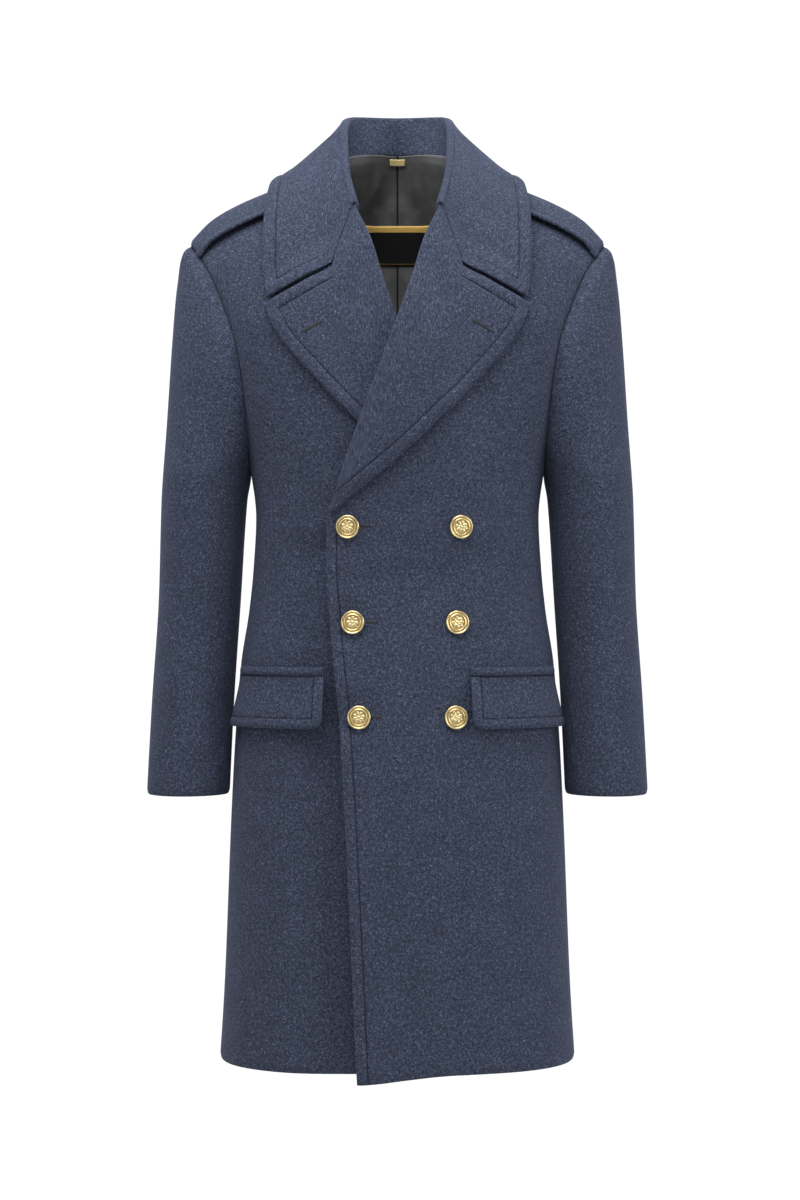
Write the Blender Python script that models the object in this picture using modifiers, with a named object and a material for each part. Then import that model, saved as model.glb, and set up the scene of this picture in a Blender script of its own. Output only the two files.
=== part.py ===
"""Double-breasted wool greatcoat with an ulster collar, filled out as if worn and left hollow.

Metres, +Z up. The front faces -Y and the wearer's left is +X. The origin lies between the
shoulders at the base of the neck, where the wearer carries the coat.
"""

import math

import bmesh
import bpy
import numpy as np
from mathutils import Vector
from mathutils.bvhtree import BVHTree


COLLECTION = "wool_coat"


class Table:
    """Rows of sizes under named columns, read smoothly against the first column."""

    def __init__(self, columns, rows):
        self.columns = columns.split()
        self.rows = np.array(sorted(rows), float)

    def at(self, key, column):
        keys = self.rows[:, 0]
        values = self.rows[:, self.columns.index(column)]
        secants = np.diff(values) / np.diff(keys)
        before, after = secants[:-1], secants[1:]
        turning = before * after <= 0
        mean = 2 * before * after / np.where(turning, 1.0, before + after)
        inner = np.where(turning, 0.0, mean)
        slopes = np.concatenate([secants[:1], inner, secants[-1:]])
        key = np.clip(key, keys[0], keys[-1])
        i = np.clip(np.searchsorted(keys, key) - 1, 0, len(keys) - 2)
        step = keys[i + 1] - keys[i]
        t = (key - keys[i]) / step
        start = (1 + 2 * t) * (1 - t) ** 2 * values[i] + t * (1 - t) ** 2 * step * slopes[i]
        end = t * t * (3 - 2 * t) * values[i + 1] + t * t * (t - 1) * step * slopes[i + 1]
        return start + end


# Cloth thicknesses and clearances
WOOL = 0.0026
LAPEL_CLOTH = 0.0032
COLLAR_CLOTH = 0.0032
TRIM_CLOTH = 0.0030
LINING_CLOTH = 0.0010
SEAM_GAP = 0.0003
SLEEVE_SEAM_GAP = 0.0008
LAID_GAP = 0.0005

# Heights of the main levels
HEM = -1.012
UNDERARM = -0.345
SHOULDER_TIP = -0.083
CUFF = -0.711
LINING_END = -0.450
LINING_INSET = 0.0020

# The filled-out body: a squarish oval at each height, wider than the armhole above the underarm
BODY = Table("height half_width front back", [
    (-1.025, 0.204, 0.151, 0.151),
    (-0.929, 0.198, 0.147, 0.147),
    (-0.729, 0.190, 0.140, 0.141),
    (-0.634, 0.185, 0.134, 0.136),
    (-0.561, 0.179, 0.129, 0.128),
    (-0.503, 0.170, 0.124, 0.120),
    (-0.454, 0.165, 0.121, 0.113),
    (-0.396, 0.162, 0.122, 0.109),
    (-0.345, 0.168, 0.125, 0.111),
    (-0.282, 0.185, 0.128, 0.116),
    (-0.240, 0.197, 0.128, 0.120),
    (-0.190, 0.208, 0.125, 0.123),
    (-0.150, 0.222, 0.119, 0.124),
    (-0.100, 0.245, 0.110, 0.119),
    (-0.050, 0.260, 0.099, 0.108),
    (0.000, 0.268, 0.086, 0.096),
    (0.040, 0.272, 0.076, 0.084),
])
BODY_SQUARENESS = 2.5

# The shoulder line seen from the front, and how the body rounds over it
SHOULDER = Table("across height", [
    (0.000, 0.170), (0.020, 0.125), (0.040, 0.080), (0.060, 0.038), (0.075, 0.007),
    (0.100, -0.006), (0.142, -0.022), (0.182, -0.039), (0.211, -0.056), (0.2375, -0.083),
])
SHOULDER_SEAM_Y = 0.004
SHOULDER_ROUND = 0.17
SHOULDER_DOME = 1.65

# Half the neck seam: 0 at the nape, NECK_POINT at the shoulder seam, 1 where the lapel starts
NECK = Table("along across height", [
    (0.00, 0.000, 0.031), (0.15, 0.026, 0.029), (0.30, 0.051, 0.022), (0.42, 0.068, 0.013),
    (0.52, 0.0755, 0.005), (0.64, 0.069, -0.012), (0.76, 0.060, -0.027), (0.88, 0.051, -0.042),
    (1.00, 0.043, -0.055),
])
NECK_POINT = 0.52

# How far out the armhole seam lies, in front and behind
ARMHOLE = Table("height front back", [
    (-0.345, 0.1680, 0.1680), (-0.325, 0.1682, 0.1690), (-0.282, 0.1707, 0.1745),
    (-0.240, 0.1747, 0.1830), (-0.192, 0.1837, 0.1930), (-0.163, 0.1944, 0.2030),
    (-0.125, 0.2103, 0.2160), (-0.097, 0.2270, 0.2285), (-0.083, 0.2375, 0.2375),
])

# The sleeve: its silhouette from the front, its middle and its depth from the side
SLEEVE = Table("height outer inner middle half_depth", [
    (-0.720, 0.2865, 0.1920, -0.020, 0.058), (-0.711, 0.2860, 0.1915, -0.020, 0.058),
    (-0.603, 0.2810, 0.1870, -0.008, 0.067), (-0.484, 0.2740, 0.1797, 0.002, 0.074),
    (-0.375, 0.2710, 0.1725, 0.002, 0.079), (-0.345, 0.2690, 0.1680, 0.000, 0.080),
    (-0.290, 0.2650, 0.1680, 0.001, 0.080), (-0.197, 0.2590, 0.1680, 0.002, 0.080),
    (-0.135, 0.2540, 0.1680, 0.003, 0.080), (-0.107, 0.2490, 0.1680, 0.004, 0.080),
    (-0.092, 0.2440, 0.1680, 0.004, 0.080), (-0.083, 0.2375, 0.1680, 0.004, 0.080),
])
SLEEVE_UNDERCUT = 2.2
FOREARM_SEAM = math.radians(36)
SLEEVE_SEAM_LOW = UNDERARM - 0.055

# The top sleeve is one piece of cloth. It is parted at three heights, because convex collision pieces
# follow short walls more closely and so keep the sleeve open for an arm.
SLEEVE_LENGTHS = ("forearm", "arm", "underarm", "cap")
SLEEVE_CUTS = (-0.530, -0.370, -0.230)

# Front edge below the break of the lapel, and the roll line above it, seen from the front
FRONT_EDGE = Table("height across", [
    (-1.030, -0.0425), (-0.650, -0.0620), (-0.430, -0.0785), (-0.404, -0.0785),
])
ROLL_LINE = Table("height across", [
    (-0.404, -0.0785), (-0.297, -0.0447), (-0.1875, -0.0039), (-0.055, 0.0430),
])
BREAK = -0.404
HEM_DIP = 0.009
HEM_DIP_FROM = 0.070
HEM_DIP_POWER = 8

# How far the overlapping front stands off the body form, over the lower front and its lapel,
# and the distance across at which that starts to ease off
OVERLAP = Table("height lift full", [
    (-1.030, 0.0036, 0.052), (-0.650, 0.0036, 0.072), (-0.480, 0.0036, 0.086), (-0.410, 0.0086, 0.090),
    (-0.360, 0.0092, 0.078), (-0.300, 0.0092, 0.058), (-0.240, 0.0096, 0.034), (-0.168, 0.0102, 0.014),
    (-0.105, 0.0030, 0.004), (-0.050, 0.0000, 0.002), (0.040, 0.0000, 0.000),
])
OVERLAP_EASE = 0.060

# The lapel from its top (0) to the break (1): roll line and outer edge, seen from the front
LAPEL = Table("along roll_x roll_z edge_x edge_z", [
    (0.00, 0.0430, -0.0555, 0.1470, -0.1615), (0.12, 0.0290, -0.0960, 0.1310, -0.1945),
    (0.30, 0.0080, -0.1550, 0.0895, -0.2445), (0.50, -0.0165, -0.2220, 0.0435, -0.2925),
    (0.70, -0.0408, -0.2870, -0.0010, -0.3340), (0.87, -0.0605, -0.3450, -0.0395, -0.3662),
    (1.00, -0.0755, -0.3930, -0.0695, -0.3920),
])
LAPEL_NOTCH = (0.40, -0.0148, -0.0211, 0.35)
LAPEL_BELLY = {"left": 0.0045, "right": 0.0}
LAPEL_GAP = 0.0012

# The collar from the nape (0) to its front end (1): fold line and outer edge
COLLAR = Table("along roll_x roll_y roll_z edge_x edge_y edge_z", [
    (0.00, 0.0000, 0.0850, 0.0735, 0.0000, 0.1020, -0.0310),
    (0.15, 0.0290, 0.0810, 0.0735, 0.0520, 0.0890, -0.0330),
    (0.30, 0.0500, 0.0660, 0.0715, 0.0940, 0.0690, -0.0335),
    (0.42, 0.0600, 0.0420, 0.0650, 0.1235, 0.0440, -0.0240),
    (0.52, 0.0620, 0.0120, 0.0520, 0.1395, 0.0040, -0.0110),
    (0.64, 0.0610, -0.0210, 0.0270, 0.1465, -0.0350, -0.0340),
    (0.76, 0.0590, -0.0500, -0.0010, 0.1495, -0.0640, -0.0680),
    (0.88, 0.0540, -0.0740, -0.0280, 0.1500, -0.0840, -0.1120),
    (1.00, 0.0475, -0.0920, -0.0490, 0.1435, -0.0940, -0.1540),
])
COLLAR_NOTCH = (0.42, -0.0173, -0.0218, 0.30)
COLLAR_FOLD = 0.0020
COLLAR_GAP = 0.0014

# Shoulder straps, pockets, neck label and tab
STRAP_INNER = 0.100
STRAP_OUTER = 0.2355
STRAP_FRONT_DROP = 0.033
STRAP_BACK_DROP = 0.010
STRAP_INSET = 0.0020
STRAP_GAP = 0.0008
POCKET_INNER = 0.0805
POCKET_OUTER_ANGLE = math.radians(76)
WELT_TOP = -0.565
WELT_BOTTOM = -0.5745
FLAP_TOP = -0.5752
FLAP_BOTTOM = -0.633
FLAP_CORNER = 0.011
LABEL_GAP = 0.0012
LABEL_CLOTH = 0.0010
LABEL_HALF_WIDTH = 0.042
LABEL_TOP = -0.046
LABEL_BOTTOM = -0.092
TAB_HALF_WIDTH = 0.0095
TAB_TOP = 0.0245
TAB_BOTTOM = 0.0175

# Shank buttons on the overlapping front: across and height of each
BUTTONS = Table("row height left_column right_column", [
    (1, -0.409, -0.0545, 0.0700), (2, -0.515, -0.0490, 0.0660), (3, -0.6195, -0.0420, 0.0645),
])
BUTTON_RADIUS = 0.0130
BUTTON_PROFILE = Table("step radius height", [
    (0, 0.0, 0.0066), (1, 0.58, 0.0061), (2, 0.78, 0.0055), (3, 0.84, 0.0062), (4, 0.95, 0.0062),
    (5, 1.00, 0.0052), (6, 0.95, 0.0042), (7, 0.20, 0.0034), (8, 0.20, 0.0004), (9, 0.0, 0.0004),
])
BUTTON_SEGMENTS = 18
BUTTON_MERGE = 0.00005

# Points of each piece's grid
FRONT_COLUMNS = 15
BACK_COLUMNS = 13
LOWER_ROWS = 12
WING_ROWS = 4
CAP_ROWS = 10
CAP_CROWDING = 1.8
CAP_CLEARANCE = 0.0006
SLEEVE_COLUMNS = 13
SLEEVE_ROWS = 7
LAPEL_ROWS = 14
LAPEL_COLUMNS = 8
COLLAR_STATIONS = 15
FALL_STEPS = 8
STAND_SHARES = (0.0, 0.35, 0.7)
FOLD_ANGLES = np.radians([0, 60, 120, 180])
STRAP_ROWS = 6
STRAP_COLUMNS = 10
POCKET_COLUMNS = 13
WELT_ROWS = 3
FLAP_ROWS = 6
LABEL_GRID = (12, 6)
TAB_GRID = (4, 3)
ARC_STEPS = 80
FINE_STEPS = 400
SEAM_FOLD = 0.3
SAME_SPOT = 1e-4
HALVINGS = 50
SLOPE_STEP = 5e-4

COLOURS = {
    "wool": ((0.063, 0.076, 0.125), 0.92, 0.0),
    "lining": ((0.028, 0.028, 0.030), 0.45, 0.0),
    "label": ((0.010, 0.010, 0.011), 0.55, 0.0),
    "tab": ((0.78, 0.62, 0.30), 0.60, 0.0),
    "brass": ((0.72, 0.50, 0.19), 0.32, 1.0),
}


def ease(value, start, end):
    """0 before start, 1 after end, smooth between."""
    t = np.clip((value - start) / (end - start), 0.0, 1.0)
    return t * t * (3 - 2 * t)


def unit(vectors):
    return vectors / np.maximum(np.linalg.norm(vectors, axis=-1, keepdims=True), 1e-12)


def resample(points, count):
    """The same curve with its points evenly spaced along it."""
    steps = np.linalg.norm(np.diff(points, axis=0), axis=1)
    along = np.concatenate([[0.0], np.cumsum(steps)])
    wanted = np.linspace(0.0, along[-1], count)
    return np.stack([np.interp(wanted, along, points[:, i]) for i in range(points.shape[1])], axis=1)


def normals_of(grid):
    """Unit normals of a grid of points: across its columns, then up its rows."""
    return unit(np.cross(np.gradient(grid, axis=1), np.gradient(grid, axis=0)))


def body_depth(x, z, side):
    """Y of the filled-out body's front or back surface."""
    across = np.minimum(np.abs(x) / BODY.at(z, "half_width"), 1.0)
    plain = BODY.at(z, side) * (1 - across**BODY_SQUARENESS) ** (1 / BODY_SQUARENESS)
    drop = np.clip((SHOULDER.at(np.abs(x), "height") - z) / SHOULDER_ROUND, 0.0, 1.0)
    rounded = (1 - (1 - drop) ** SHOULDER_DOME) ** (1 / SHOULDER_DOME)
    facing = -1 if side == "front" else 1
    return SHOULDER_SEAM_Y * (1 - rounded) + facing * plain * rounded


def front_depth(x, z, side):
    """Y of the outer face of a front, on the wearer's left side's own x axis."""
    if side == "right":
        return body_depth(x, z, "front")
    full = OVERLAP.at(z, "full")
    fade = 1 - ease(x, full, full + OVERLAP_EASE)
    return body_depth(x, z, "front") - OVERLAP.at(z, "lift") * fade


def back_depth(x, z):
    return body_depth(x, z, "back")


def on_surface(x, z, depth):
    x, z = np.broadcast_arrays(np.asarray(x, float), np.asarray(z, float))
    return np.stack([x, depth(x, z), z], axis=-1)


def outward(x, z, depth):
    """Unit normals of a front surface, away from the wearer."""
    along_x = on_surface(x + SLOPE_STEP, z, depth) - on_surface(x - SLOPE_STEP, z, depth)
    along_z = on_surface(x, z + SLOPE_STEP, depth) - on_surface(x, z - SLOPE_STEP, depth)
    return unit(np.cross(along_x, along_z))


def moved_out(x, z, depth, distance):
    """Points of a front surface moved out along its normal."""
    distance = np.asarray(distance, float)[..., None]
    return on_surface(x, z, depth) + outward(x, z, depth) * distance


def level_row(z, start, end, count, depth):
    """One level row of a panel from x = start to x = end, evenly spaced along the cloth."""
    width = BODY.at(z, "half_width")
    angles = np.linspace(math.asin(start / width), math.asin(min(end / width, 1.0)), FINE_STEPS)
    return resample(on_surface(width * np.sin(angles), z, depth), count)


def patch(bottom, top, left, right):
    """A grid of (x, z) points filled in between its four edges."""
    u = np.linspace(0, 1, len(bottom))[None, :, None]
    v = ((right[:, 1] - right[0, 1]) / (right[-1, 1] - right[0, 1]))[:, None, None]
    rows = (1 - v) * bottom[None] + v * top[None]
    columns = (1 - u) * left[:, None] + u * right[:, None]
    low = (1 - u) * bottom[0] + u * bottom[-1]
    high = (1 - u) * top[0] + u * top[-1]
    return rows + columns - (1 - v) * low - v * high


def cloth(name, face, back, material):
    """A closed cloth wall between two grids of points."""
    rows, columns = face.shape[:2]
    mesh = bmesh.new()
    bmesh.ops.create_grid(mesh, x_segments=columns - 1, y_segments=rows - 1, size=1.0)

    def place(vert):
        return round((vert.co.y + 1) / 2 * (rows - 1)), round((vert.co.x + 1) / 2 * (columns - 1))

    front_verts = mesh.verts[:]
    grown = bmesh.ops.extrude_face_region(mesh, geom=mesh.faces[:])["geom"]
    back_verts = [item for item in grown if isinstance(item, bmesh.types.BMVert)]
    for verts, grid in ((front_verts, face), (back_verts, back)):
        for vert in verts:
            vert.co = grid[place(vert)]
    bmesh.ops.recalc_face_normals(mesh, faces=mesh.faces[:])
    if mesh.calc_volume(signed=True) < 0:
        bmesh.ops.reverse_faces(mesh, faces=mesh.faces[:])
    data = bpy.data.meshes.new(name)
    mesh.to_mesh(data)
    mesh.free()
    data.shade_smooth()
    return add_part(name, data, material)


def in_lengths(face, back, cuts):
    """A long wall as shorter ones, parted at the given heights."""
    heights = face[:, face.shape[1] // 2, 2]
    places = [0, *[int(np.abs(heights - cut).argmin()) for cut in cuts], len(face) - 1]
    for first, last in zip(places[:-1], places[1:]):
        own_face, own_back = face[first:last + 1].copy(), back[first:last + 1].copy()
        for edge, inner, cut in ((0, 1, first > 0), (-1, -2, last < len(face) - 1)):
            if cut:
                step = SEAM_GAP / 2 * unit(own_face[inner] - own_face[edge])
                own_face[edge] += step
                own_back[edge] += step
        yield own_face, own_back


def add_part(name, data, material):
    part = bpy.data.objects.new(name, data)
    if not data.materials:
        data.materials.append(material)
    bpy.data.collections[COLLECTION].objects.link(part)
    return part


def make_material(name):
    colour, roughness, metallic = COLOURS[name]
    material = bpy.data.materials.new(name)
    material.use_nodes = True
    shader = material.node_tree.nodes["Principled BSDF"]
    shader.inputs["Base Color"].default_value = (*colour, 1.0)
    shader.inputs["Roughness"].default_value = roughness
    shader.inputs["Metallic"].default_value = metallic
    return material


def mirrored(grid):
    return grid * np.array([-1.0, 1.0, 1.0])


# Armhole and sleeve


def armhole_point(z, side):
    x = ARMHOLE.at(z, side)
    return np.array([x, body_depth(x, z, side), z])


def sleeve_section(z, side):
    """Middle x, half width, half depth and starting angle of the sleeve's front or back half."""
    outer = SLEEVE.at(z, "outer")
    if z <= UNDERARM:
        inner = SLEEVE.at(z, "inner")
        return (inner + outer) / 2, (outer - inner) / 2, SLEEVE.at(z, "half_depth"), 0.0
    seam = armhole_point(z, side)
    rise = np.clip((z - UNDERARM) / (SHOULDER_TIP - UNDERARM), 0.0, 1.0)
    wrap = SLEEVE.at(z, "half_depth") * (1 - rise) ** SLEEVE_UNDERCUT
    reach = abs(seam[1] - SLEEVE.at(z, "middle"))
    half_depth = max(math.hypot(wrap, reach), 1e-6)
    turn = wrap / half_depth
    middle = (seam[0] + turn * outer) / (1 + turn)
    return middle, outer - middle, half_depth, math.acos(min(turn, 1.0))


def sleeve_point(z, angle, side):
    """A point of the sleeve: angle 0 is its inner side, half a turn its outer side."""
    middle, half_width, half_depth, _ = sleeve_section(z, side)
    facing = -1 if side == "front" else 1
    y = SLEEVE.at(z, "middle") + facing * half_depth * math.sin(angle)
    return np.array([middle - half_width * math.cos(angle), y, z])


def seam_meets_armhole():
    """Height at which the forearm seam runs into the armhole."""
    low, high = UNDERARM, SHOULDER_TIP
    for _ in range(HALVINGS):
        z = (low + high) / 2
        if sleeve_section(z, "front")[3] < FOREARM_SEAM:
            low = z
        else:
            high = z
    return low


def armhole_rows():
    """Heights shared by the armhole edges of the body and the sleeve."""
    meets = seam_meets_armhole()
    wings = np.linspace(UNDERARM, meets, WING_ROWS)
    rest = 1 - (1 - np.linspace(0, 1, CAP_ROWS)) ** CAP_CROWDING
    cap = meets + (SHOULDER_TIP - CAP_CLEARANCE - meets) * rest
    return np.concatenate([wings, cap[1:]])


def sleeve_top():
    meets = seam_meets_armhole()
    hind = sleeve_section(meets, "back")[3]
    low = np.linspace(CUFF, SLEEVE_SEAM_LOW, SLEEVE_ROWS)
    rise = np.linspace(SLEEVE_SEAM_LOW, meets, WING_ROWS + 1)[1:]
    grid = []
    for z in np.concatenate([low, rise, armhole_rows()[WING_ROWS:]]):
        front = max(sleeve_section(z, "front")[3], FOREARM_SEAM)
        back = max(sleeve_section(z, "back")[3], hind)
        fore = np.linspace(front, math.pi, ARC_STEPS)
        hind_part = np.linspace(math.pi, back, ARC_STEPS)[1:]
        row = [sleeve_point(z, angle, "front") for angle in fore]
        row += [sleeve_point(z, angle, "back") for angle in hind_part]
        grid.append(resample(np.array(row), SLEEVE_COLUMNS))
    return np.array(grid)


def sleeve_under():
    wings = armhole_rows()[:WING_ROWS]
    low = np.linspace(CUFF, SLEEVE_SEAM_LOW, SLEEVE_ROWS)
    columns = [(z, "back") for z in wings[::-1]] + [(z, "front") for z in wings[1:]]
    grid = []
    for top, side in columns:
        angle = sleeve_section(top, side)[3]
        heights = np.concatenate([low, np.linspace(SLEEVE_SEAM_LOW, top, WING_ROWS + 1)[1:]])
        grid.append([sleeve_point(z, angle, side) for z in heights])
    return np.array(grid).transpose(1, 0, 2)


# Body panels, on the wearer's left


def neck_points(along):
    return np.stack([NECK.at(along, "across"), NECK.at(along, "height")], axis=-1)


def shoulder_seam(count):
    across = np.linspace(NECK.at(NECK_POINT, "across"), ARMHOLE.at(SHOULDER_TIP, "front"), count)
    return np.stack([across, SHOULDER.at(across, "height")], axis=-1)


def front_start(z):
    return ROLL_LINE.at(z, "across") if z > BREAK else FRONT_EDGE.at(z, "across")


def front_panel(side):
    def depth(x, z):
        return front_depth(x, z, side)

    lower = []
    for fall in np.linspace(1, 0, LOWER_ROWS):
        z = UNDERARM + (HEM - UNDERARM) * fall
        row = level_row(z, front_start(z), BODY.at(z, "half_width"), FRONT_COLUMNS, depth)
        if side == "left":
            near_edge = 1 - ease(row[:, 0], FRONT_EDGE.at(HEM, "across"), HEM_DIP_FROM)
            row[:, 2] -= HEM_DIP * fall**HEM_DIP_POWER * near_edge
        lower.append(row)
    heights = armhole_rows()
    roll_z = np.linspace(UNDERARM, ROLL_LINE.rows[-1, 0], FINE_STEPS)
    roll = np.stack([ROLL_LINE.at(roll_z, "across"), roll_z], axis=-1)
    edge = np.concatenate([roll, neck_points(np.linspace(1, NECK_POINT, FINE_STEPS))[1:]])
    rise = (heights - heights[0]) / (heights[-1] - heights[0])
    steps = np.linalg.norm(np.diff(edge, axis=0), axis=1)
    along = np.concatenate([[0.0], np.cumsum(steps)]) / steps.sum()
    left = np.stack([np.interp(rise, along, edge[:, i]) for i in range(2)], axis=-1)
    right = np.stack([ARMHOLE.at(heights, "front"), heights], axis=-1)
    top = resample(shoulder_seam(FINE_STEPS), FRONT_COLUMNS)
    flat = patch(lower[-1][:, [0, 2]], top, left, right)
    upper = on_surface(flat[..., 0], flat[..., 1], depth)
    return np.concatenate([np.array(lower), upper[1:]])


def back_panel():
    lower = []
    for z in np.linspace(HEM, UNDERARM, LOWER_ROWS):
        lower.append(level_row(z, 0.0, BODY.at(z, "half_width"), BACK_COLUMNS, back_depth))
    heights = armhole_rows()
    rise = (heights - heights[0]) / (heights[-1] - heights[0])
    nape = NECK.at(0.0, "height")
    left = np.stack([np.zeros_like(rise), UNDERARM + (nape - UNDERARM) * rise], axis=-1)
    right = np.stack([ARMHOLE.at(heights, "back"), heights], axis=-1)
    neck = neck_points(np.linspace(0, NECK_POINT, FINE_STEPS))
    top = np.concatenate([neck, shoulder_seam(FINE_STEPS)[1:]])
    flat = patch(lower[-1][:, [0, 2]], resample(top, BACK_COLUMNS), left, right)
    upper = on_surface(flat[..., 0], flat[..., 1], back_depth)
    return np.concatenate([np.array(lower), upper[1:]])


def drawn_in(grid, half):
    """The panel with each edge pulled in by half a seam gap."""
    grid = grid.copy()
    source = grid.copy()
    grid[0] += half * unit(source[1] - source[0])
    grid[-1] += half * unit(source[-2] - source[-1])
    grid[:, 0] += half * unit(source[:, 1] - source[:, 0])
    grid[:, -1] += half * unit(source[:, -2] - source[:, -1])
    return grid


def sewn_panels():
    """Every panel's outer points, with normals that agree where panels meet along a seam."""
    halves = {
        "back": (back_panel(), -1),
        "sleeve_top": (sleeve_top(), 1),
        "sleeve_under": (sleeve_under(), 1),
    }
    panels = {"front_left": [front_panel("left"), 1], "front_right": [front_panel("right"), 1]}
    for name, (grid, facing) in halves.items():
        for side in ("left", "right"):
            panels[f"{name}_{side}"] = [grid, facing]
    for name, panel in panels.items():
        panel[1] = normals_of(panel[0]) * panel[1]
        if name.endswith("right"):
            panels[name] = [mirrored(panel[0]), mirrored(panel[1])]
    meeting = {}
    for name, (grid, normals) in panels.items():
        for place in edge_places(grid):
            spot = tuple(np.round(grid[place] / SAME_SPOT).astype(int))
            meeting.setdefault(spot, []).append((name, place))
    shared = {name: normals.copy() for name, (grid, normals) in panels.items()}
    for found in meeting.values():
        for name, place in found:
            own = panels[name][1][place]
            others = [panels[n][1][p] for n, p in found if n != name]
            if not others:
                continue
            other = unit(np.sum(others, axis=0))
            agree = float(ease(own @ other, -SEAM_FOLD, SEAM_FOLD))
            shared[name][place] = unit(own + agree * other)
    return {name: (grid, shared[name]) for name, (grid, _) in panels.items()}


def edge_places(grid):
    rows, columns = grid.shape[:2]
    around = [(r, c) for r in range(rows) for c in (0, columns - 1)]
    return around + [(r, c) for r in (0, rows - 1) for c in range(1, columns - 1)]


# Pieces that lie on the panels, on the wearer's left


def tent(value, peak):
    return np.minimum(value / peak, (1 - value) / (1 - peak))


def lapel(side):
    def depth(x, z):
        return front_depth(x, z, side)

    along = np.linspace(0, 1, LAPEL_ROWS)[:, None]
    across = np.linspace(0, 1, LAPEL_COLUMNS)[None, :]
    peak, notch_x, notch_z, reach = LAPEL_NOTCH
    notch = tent(across, peak) * np.clip(1 - along / reach, 0, 1) ** 2
    x = LAPEL.at(along, "roll_x") * (1 - across) + LAPEL.at(along, "edge_x") * across
    z = LAPEL.at(along, "roll_z") * (1 - across) + LAPEL.at(along, "edge_z") * across
    x = x + notch * notch_x
    z = z + notch * notch_z
    belly = LAPEL_BELLY[side] * np.sin(math.pi * across) * np.sqrt(np.abs(np.sin(math.pi * along)))
    under = moved_out(x, z, depth, LAPEL_GAP + belly)
    face = moved_out(x, z, depth, LAPEL_GAP + belly + LAPEL_CLOTH)
    return face, under


def collar_half():
    """Under side of half the collar: up the stand, over the fold and down the fall."""
    stations = []
    for along in np.linspace(0, 1, COLLAR_STATIONS):
        side = "back" if along < NECK_POINT else "front"
        x, z = neck_points(along)
        neck = np.array([x, body_depth(x, z, side), z + SEAM_GAP])
        fold = np.array([COLLAR.at(along, f"roll_{axis}") for axis in "xyz"])
        edge = np.array([COLLAR.at(along, f"edge_{axis}") for axis in "xyz"])
        out = unit(np.array([edge[0] - fold[0], edge[1] - fold[1], 0.0]))
        up = np.array([0.0, 0.0, 1.0])
        stand_top = fold - out * COLLAR_FOLD
        rolled = [fold + COLLAR_FOLD * (up * math.sin(a) - out * math.cos(a)) for a in FOLD_ANGLES]
        stand = [neck + (stand_top - neck) * share for share in STAND_SHARES]
        across = np.linspace(0, 1, FALL_STEPS)[1:]
        peak, notch_x, notch_z, reach = COLLAR_NOTCH
        bend = tent(across, peak) * np.clip((along - 1 + reach) / reach, 0, 1) ** 2
        fall = rolled[-1] + (edge - rolled[-1]) * across[:, None]
        fall[:, 0] += bend * notch_x
        fall[:, 2] += bend * notch_z
        stations.append(np.array(stand + rolled + list(lifted(fall, side))))
    return np.array(stations)


def lifted(points, side):
    """Points kept clear of the body's surface, in front of it or behind it."""
    points = points.copy()
    surface = body_depth(points[:, 0], points[:, 2], side)
    if side == "front":
        points[:, 1] = np.minimum(points[:, 1], surface - COLLAR_GAP)
    else:
        points[:, 1] = np.maximum(points[:, 1], surface + COLLAR_GAP)
    return points


def strap_end(drop, side):
    """How far out the strap reaches at a drop below the shoulder line: to the armhole seam."""
    low, high = STRAP_INNER, STRAP_OUTER
    for _ in range(HALVINGS):
        x = (low + high) / 2
        if ARMHOLE.at(SHOULDER.at(x, "height") - drop, side) - STRAP_INSET > x:
            low = x
        else:
            high = x
    return low


def shoulder_strap():
    shares = np.linspace(1, 0, STRAP_ROWS)[:-1]
    lines = [(STRAP_FRONT_DROP * share**2, "front") for share in shares]
    lines += [(STRAP_BACK_DROP * share**2, "back") for share in shares[::-2]]
    lines.insert(len(shares), (0.0, "front"))
    under = []
    for drop, side in lines:
        x = np.linspace(STRAP_INNER, strap_end(drop, side), STRAP_COLUMNS)
        z = SHOULDER.at(x, "height") - drop
        under.append(np.stack([x, body_depth(x, z, side), z], axis=-1))
    under = np.array(under)
    normal = normals_of(under)
    normal *= np.sign(normal[..., 2:3].mean())
    return under + normal * (STRAP_GAP + TRIM_CLOTH), under + normal * STRAP_GAP


def pocket_piece(side, top, bottom, corner, rows):
    """A strip of cloth on the front, with its lower inner corner rounded."""
    face, under = [], []

    def depth(x, z):
        return front_depth(x, z, side)

    for share in np.linspace(0, 1, rows):
        level = bottom + (top - bottom) * share
        end = BODY.at(level, "half_width") * math.sin(POCKET_OUTER_ANGLE)
        row = level_row(level, POCKET_INNER, end, POCKET_COLUMNS, depth)
        near = np.clip(1 - (row[:, 0] - POCKET_INNER) / max(corner, 1e-6), 0, 1)
        z = level + (1 - share) * corner * (1 - np.sqrt(1 - near**2))
        under.append(moved_out(row[:, 0], z, depth, LAID_GAP))
        face.append(moved_out(row[:, 0], z, depth, LAID_GAP + TRIM_CLOTH))
    return np.array(face), np.array(under)


def lining_half():
    """The back lining, laid inside the back from the waist to the neck seam."""
    grid = back_panel()
    keep = int(np.argmin(np.abs(np.linspace(HEM, UNDERARM, LOWER_ROWS) - LINING_END)))
    normal = -normals_of(grid)
    inner = grid - normal * (WOOL + LAID_GAP)
    inner, normal = inner[keep:, :-1], normal[keep:, :-1]
    inner[-1] += LINING_INSET * unit(inner[-2] - inner[-1])
    inner[:, 0, 0] = SEAM_GAP / 2
    face = inner - normal * LINING_CLOTH
    face[:, 0, 0] = SEAM_GAP / 2
    return face, inner


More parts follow.
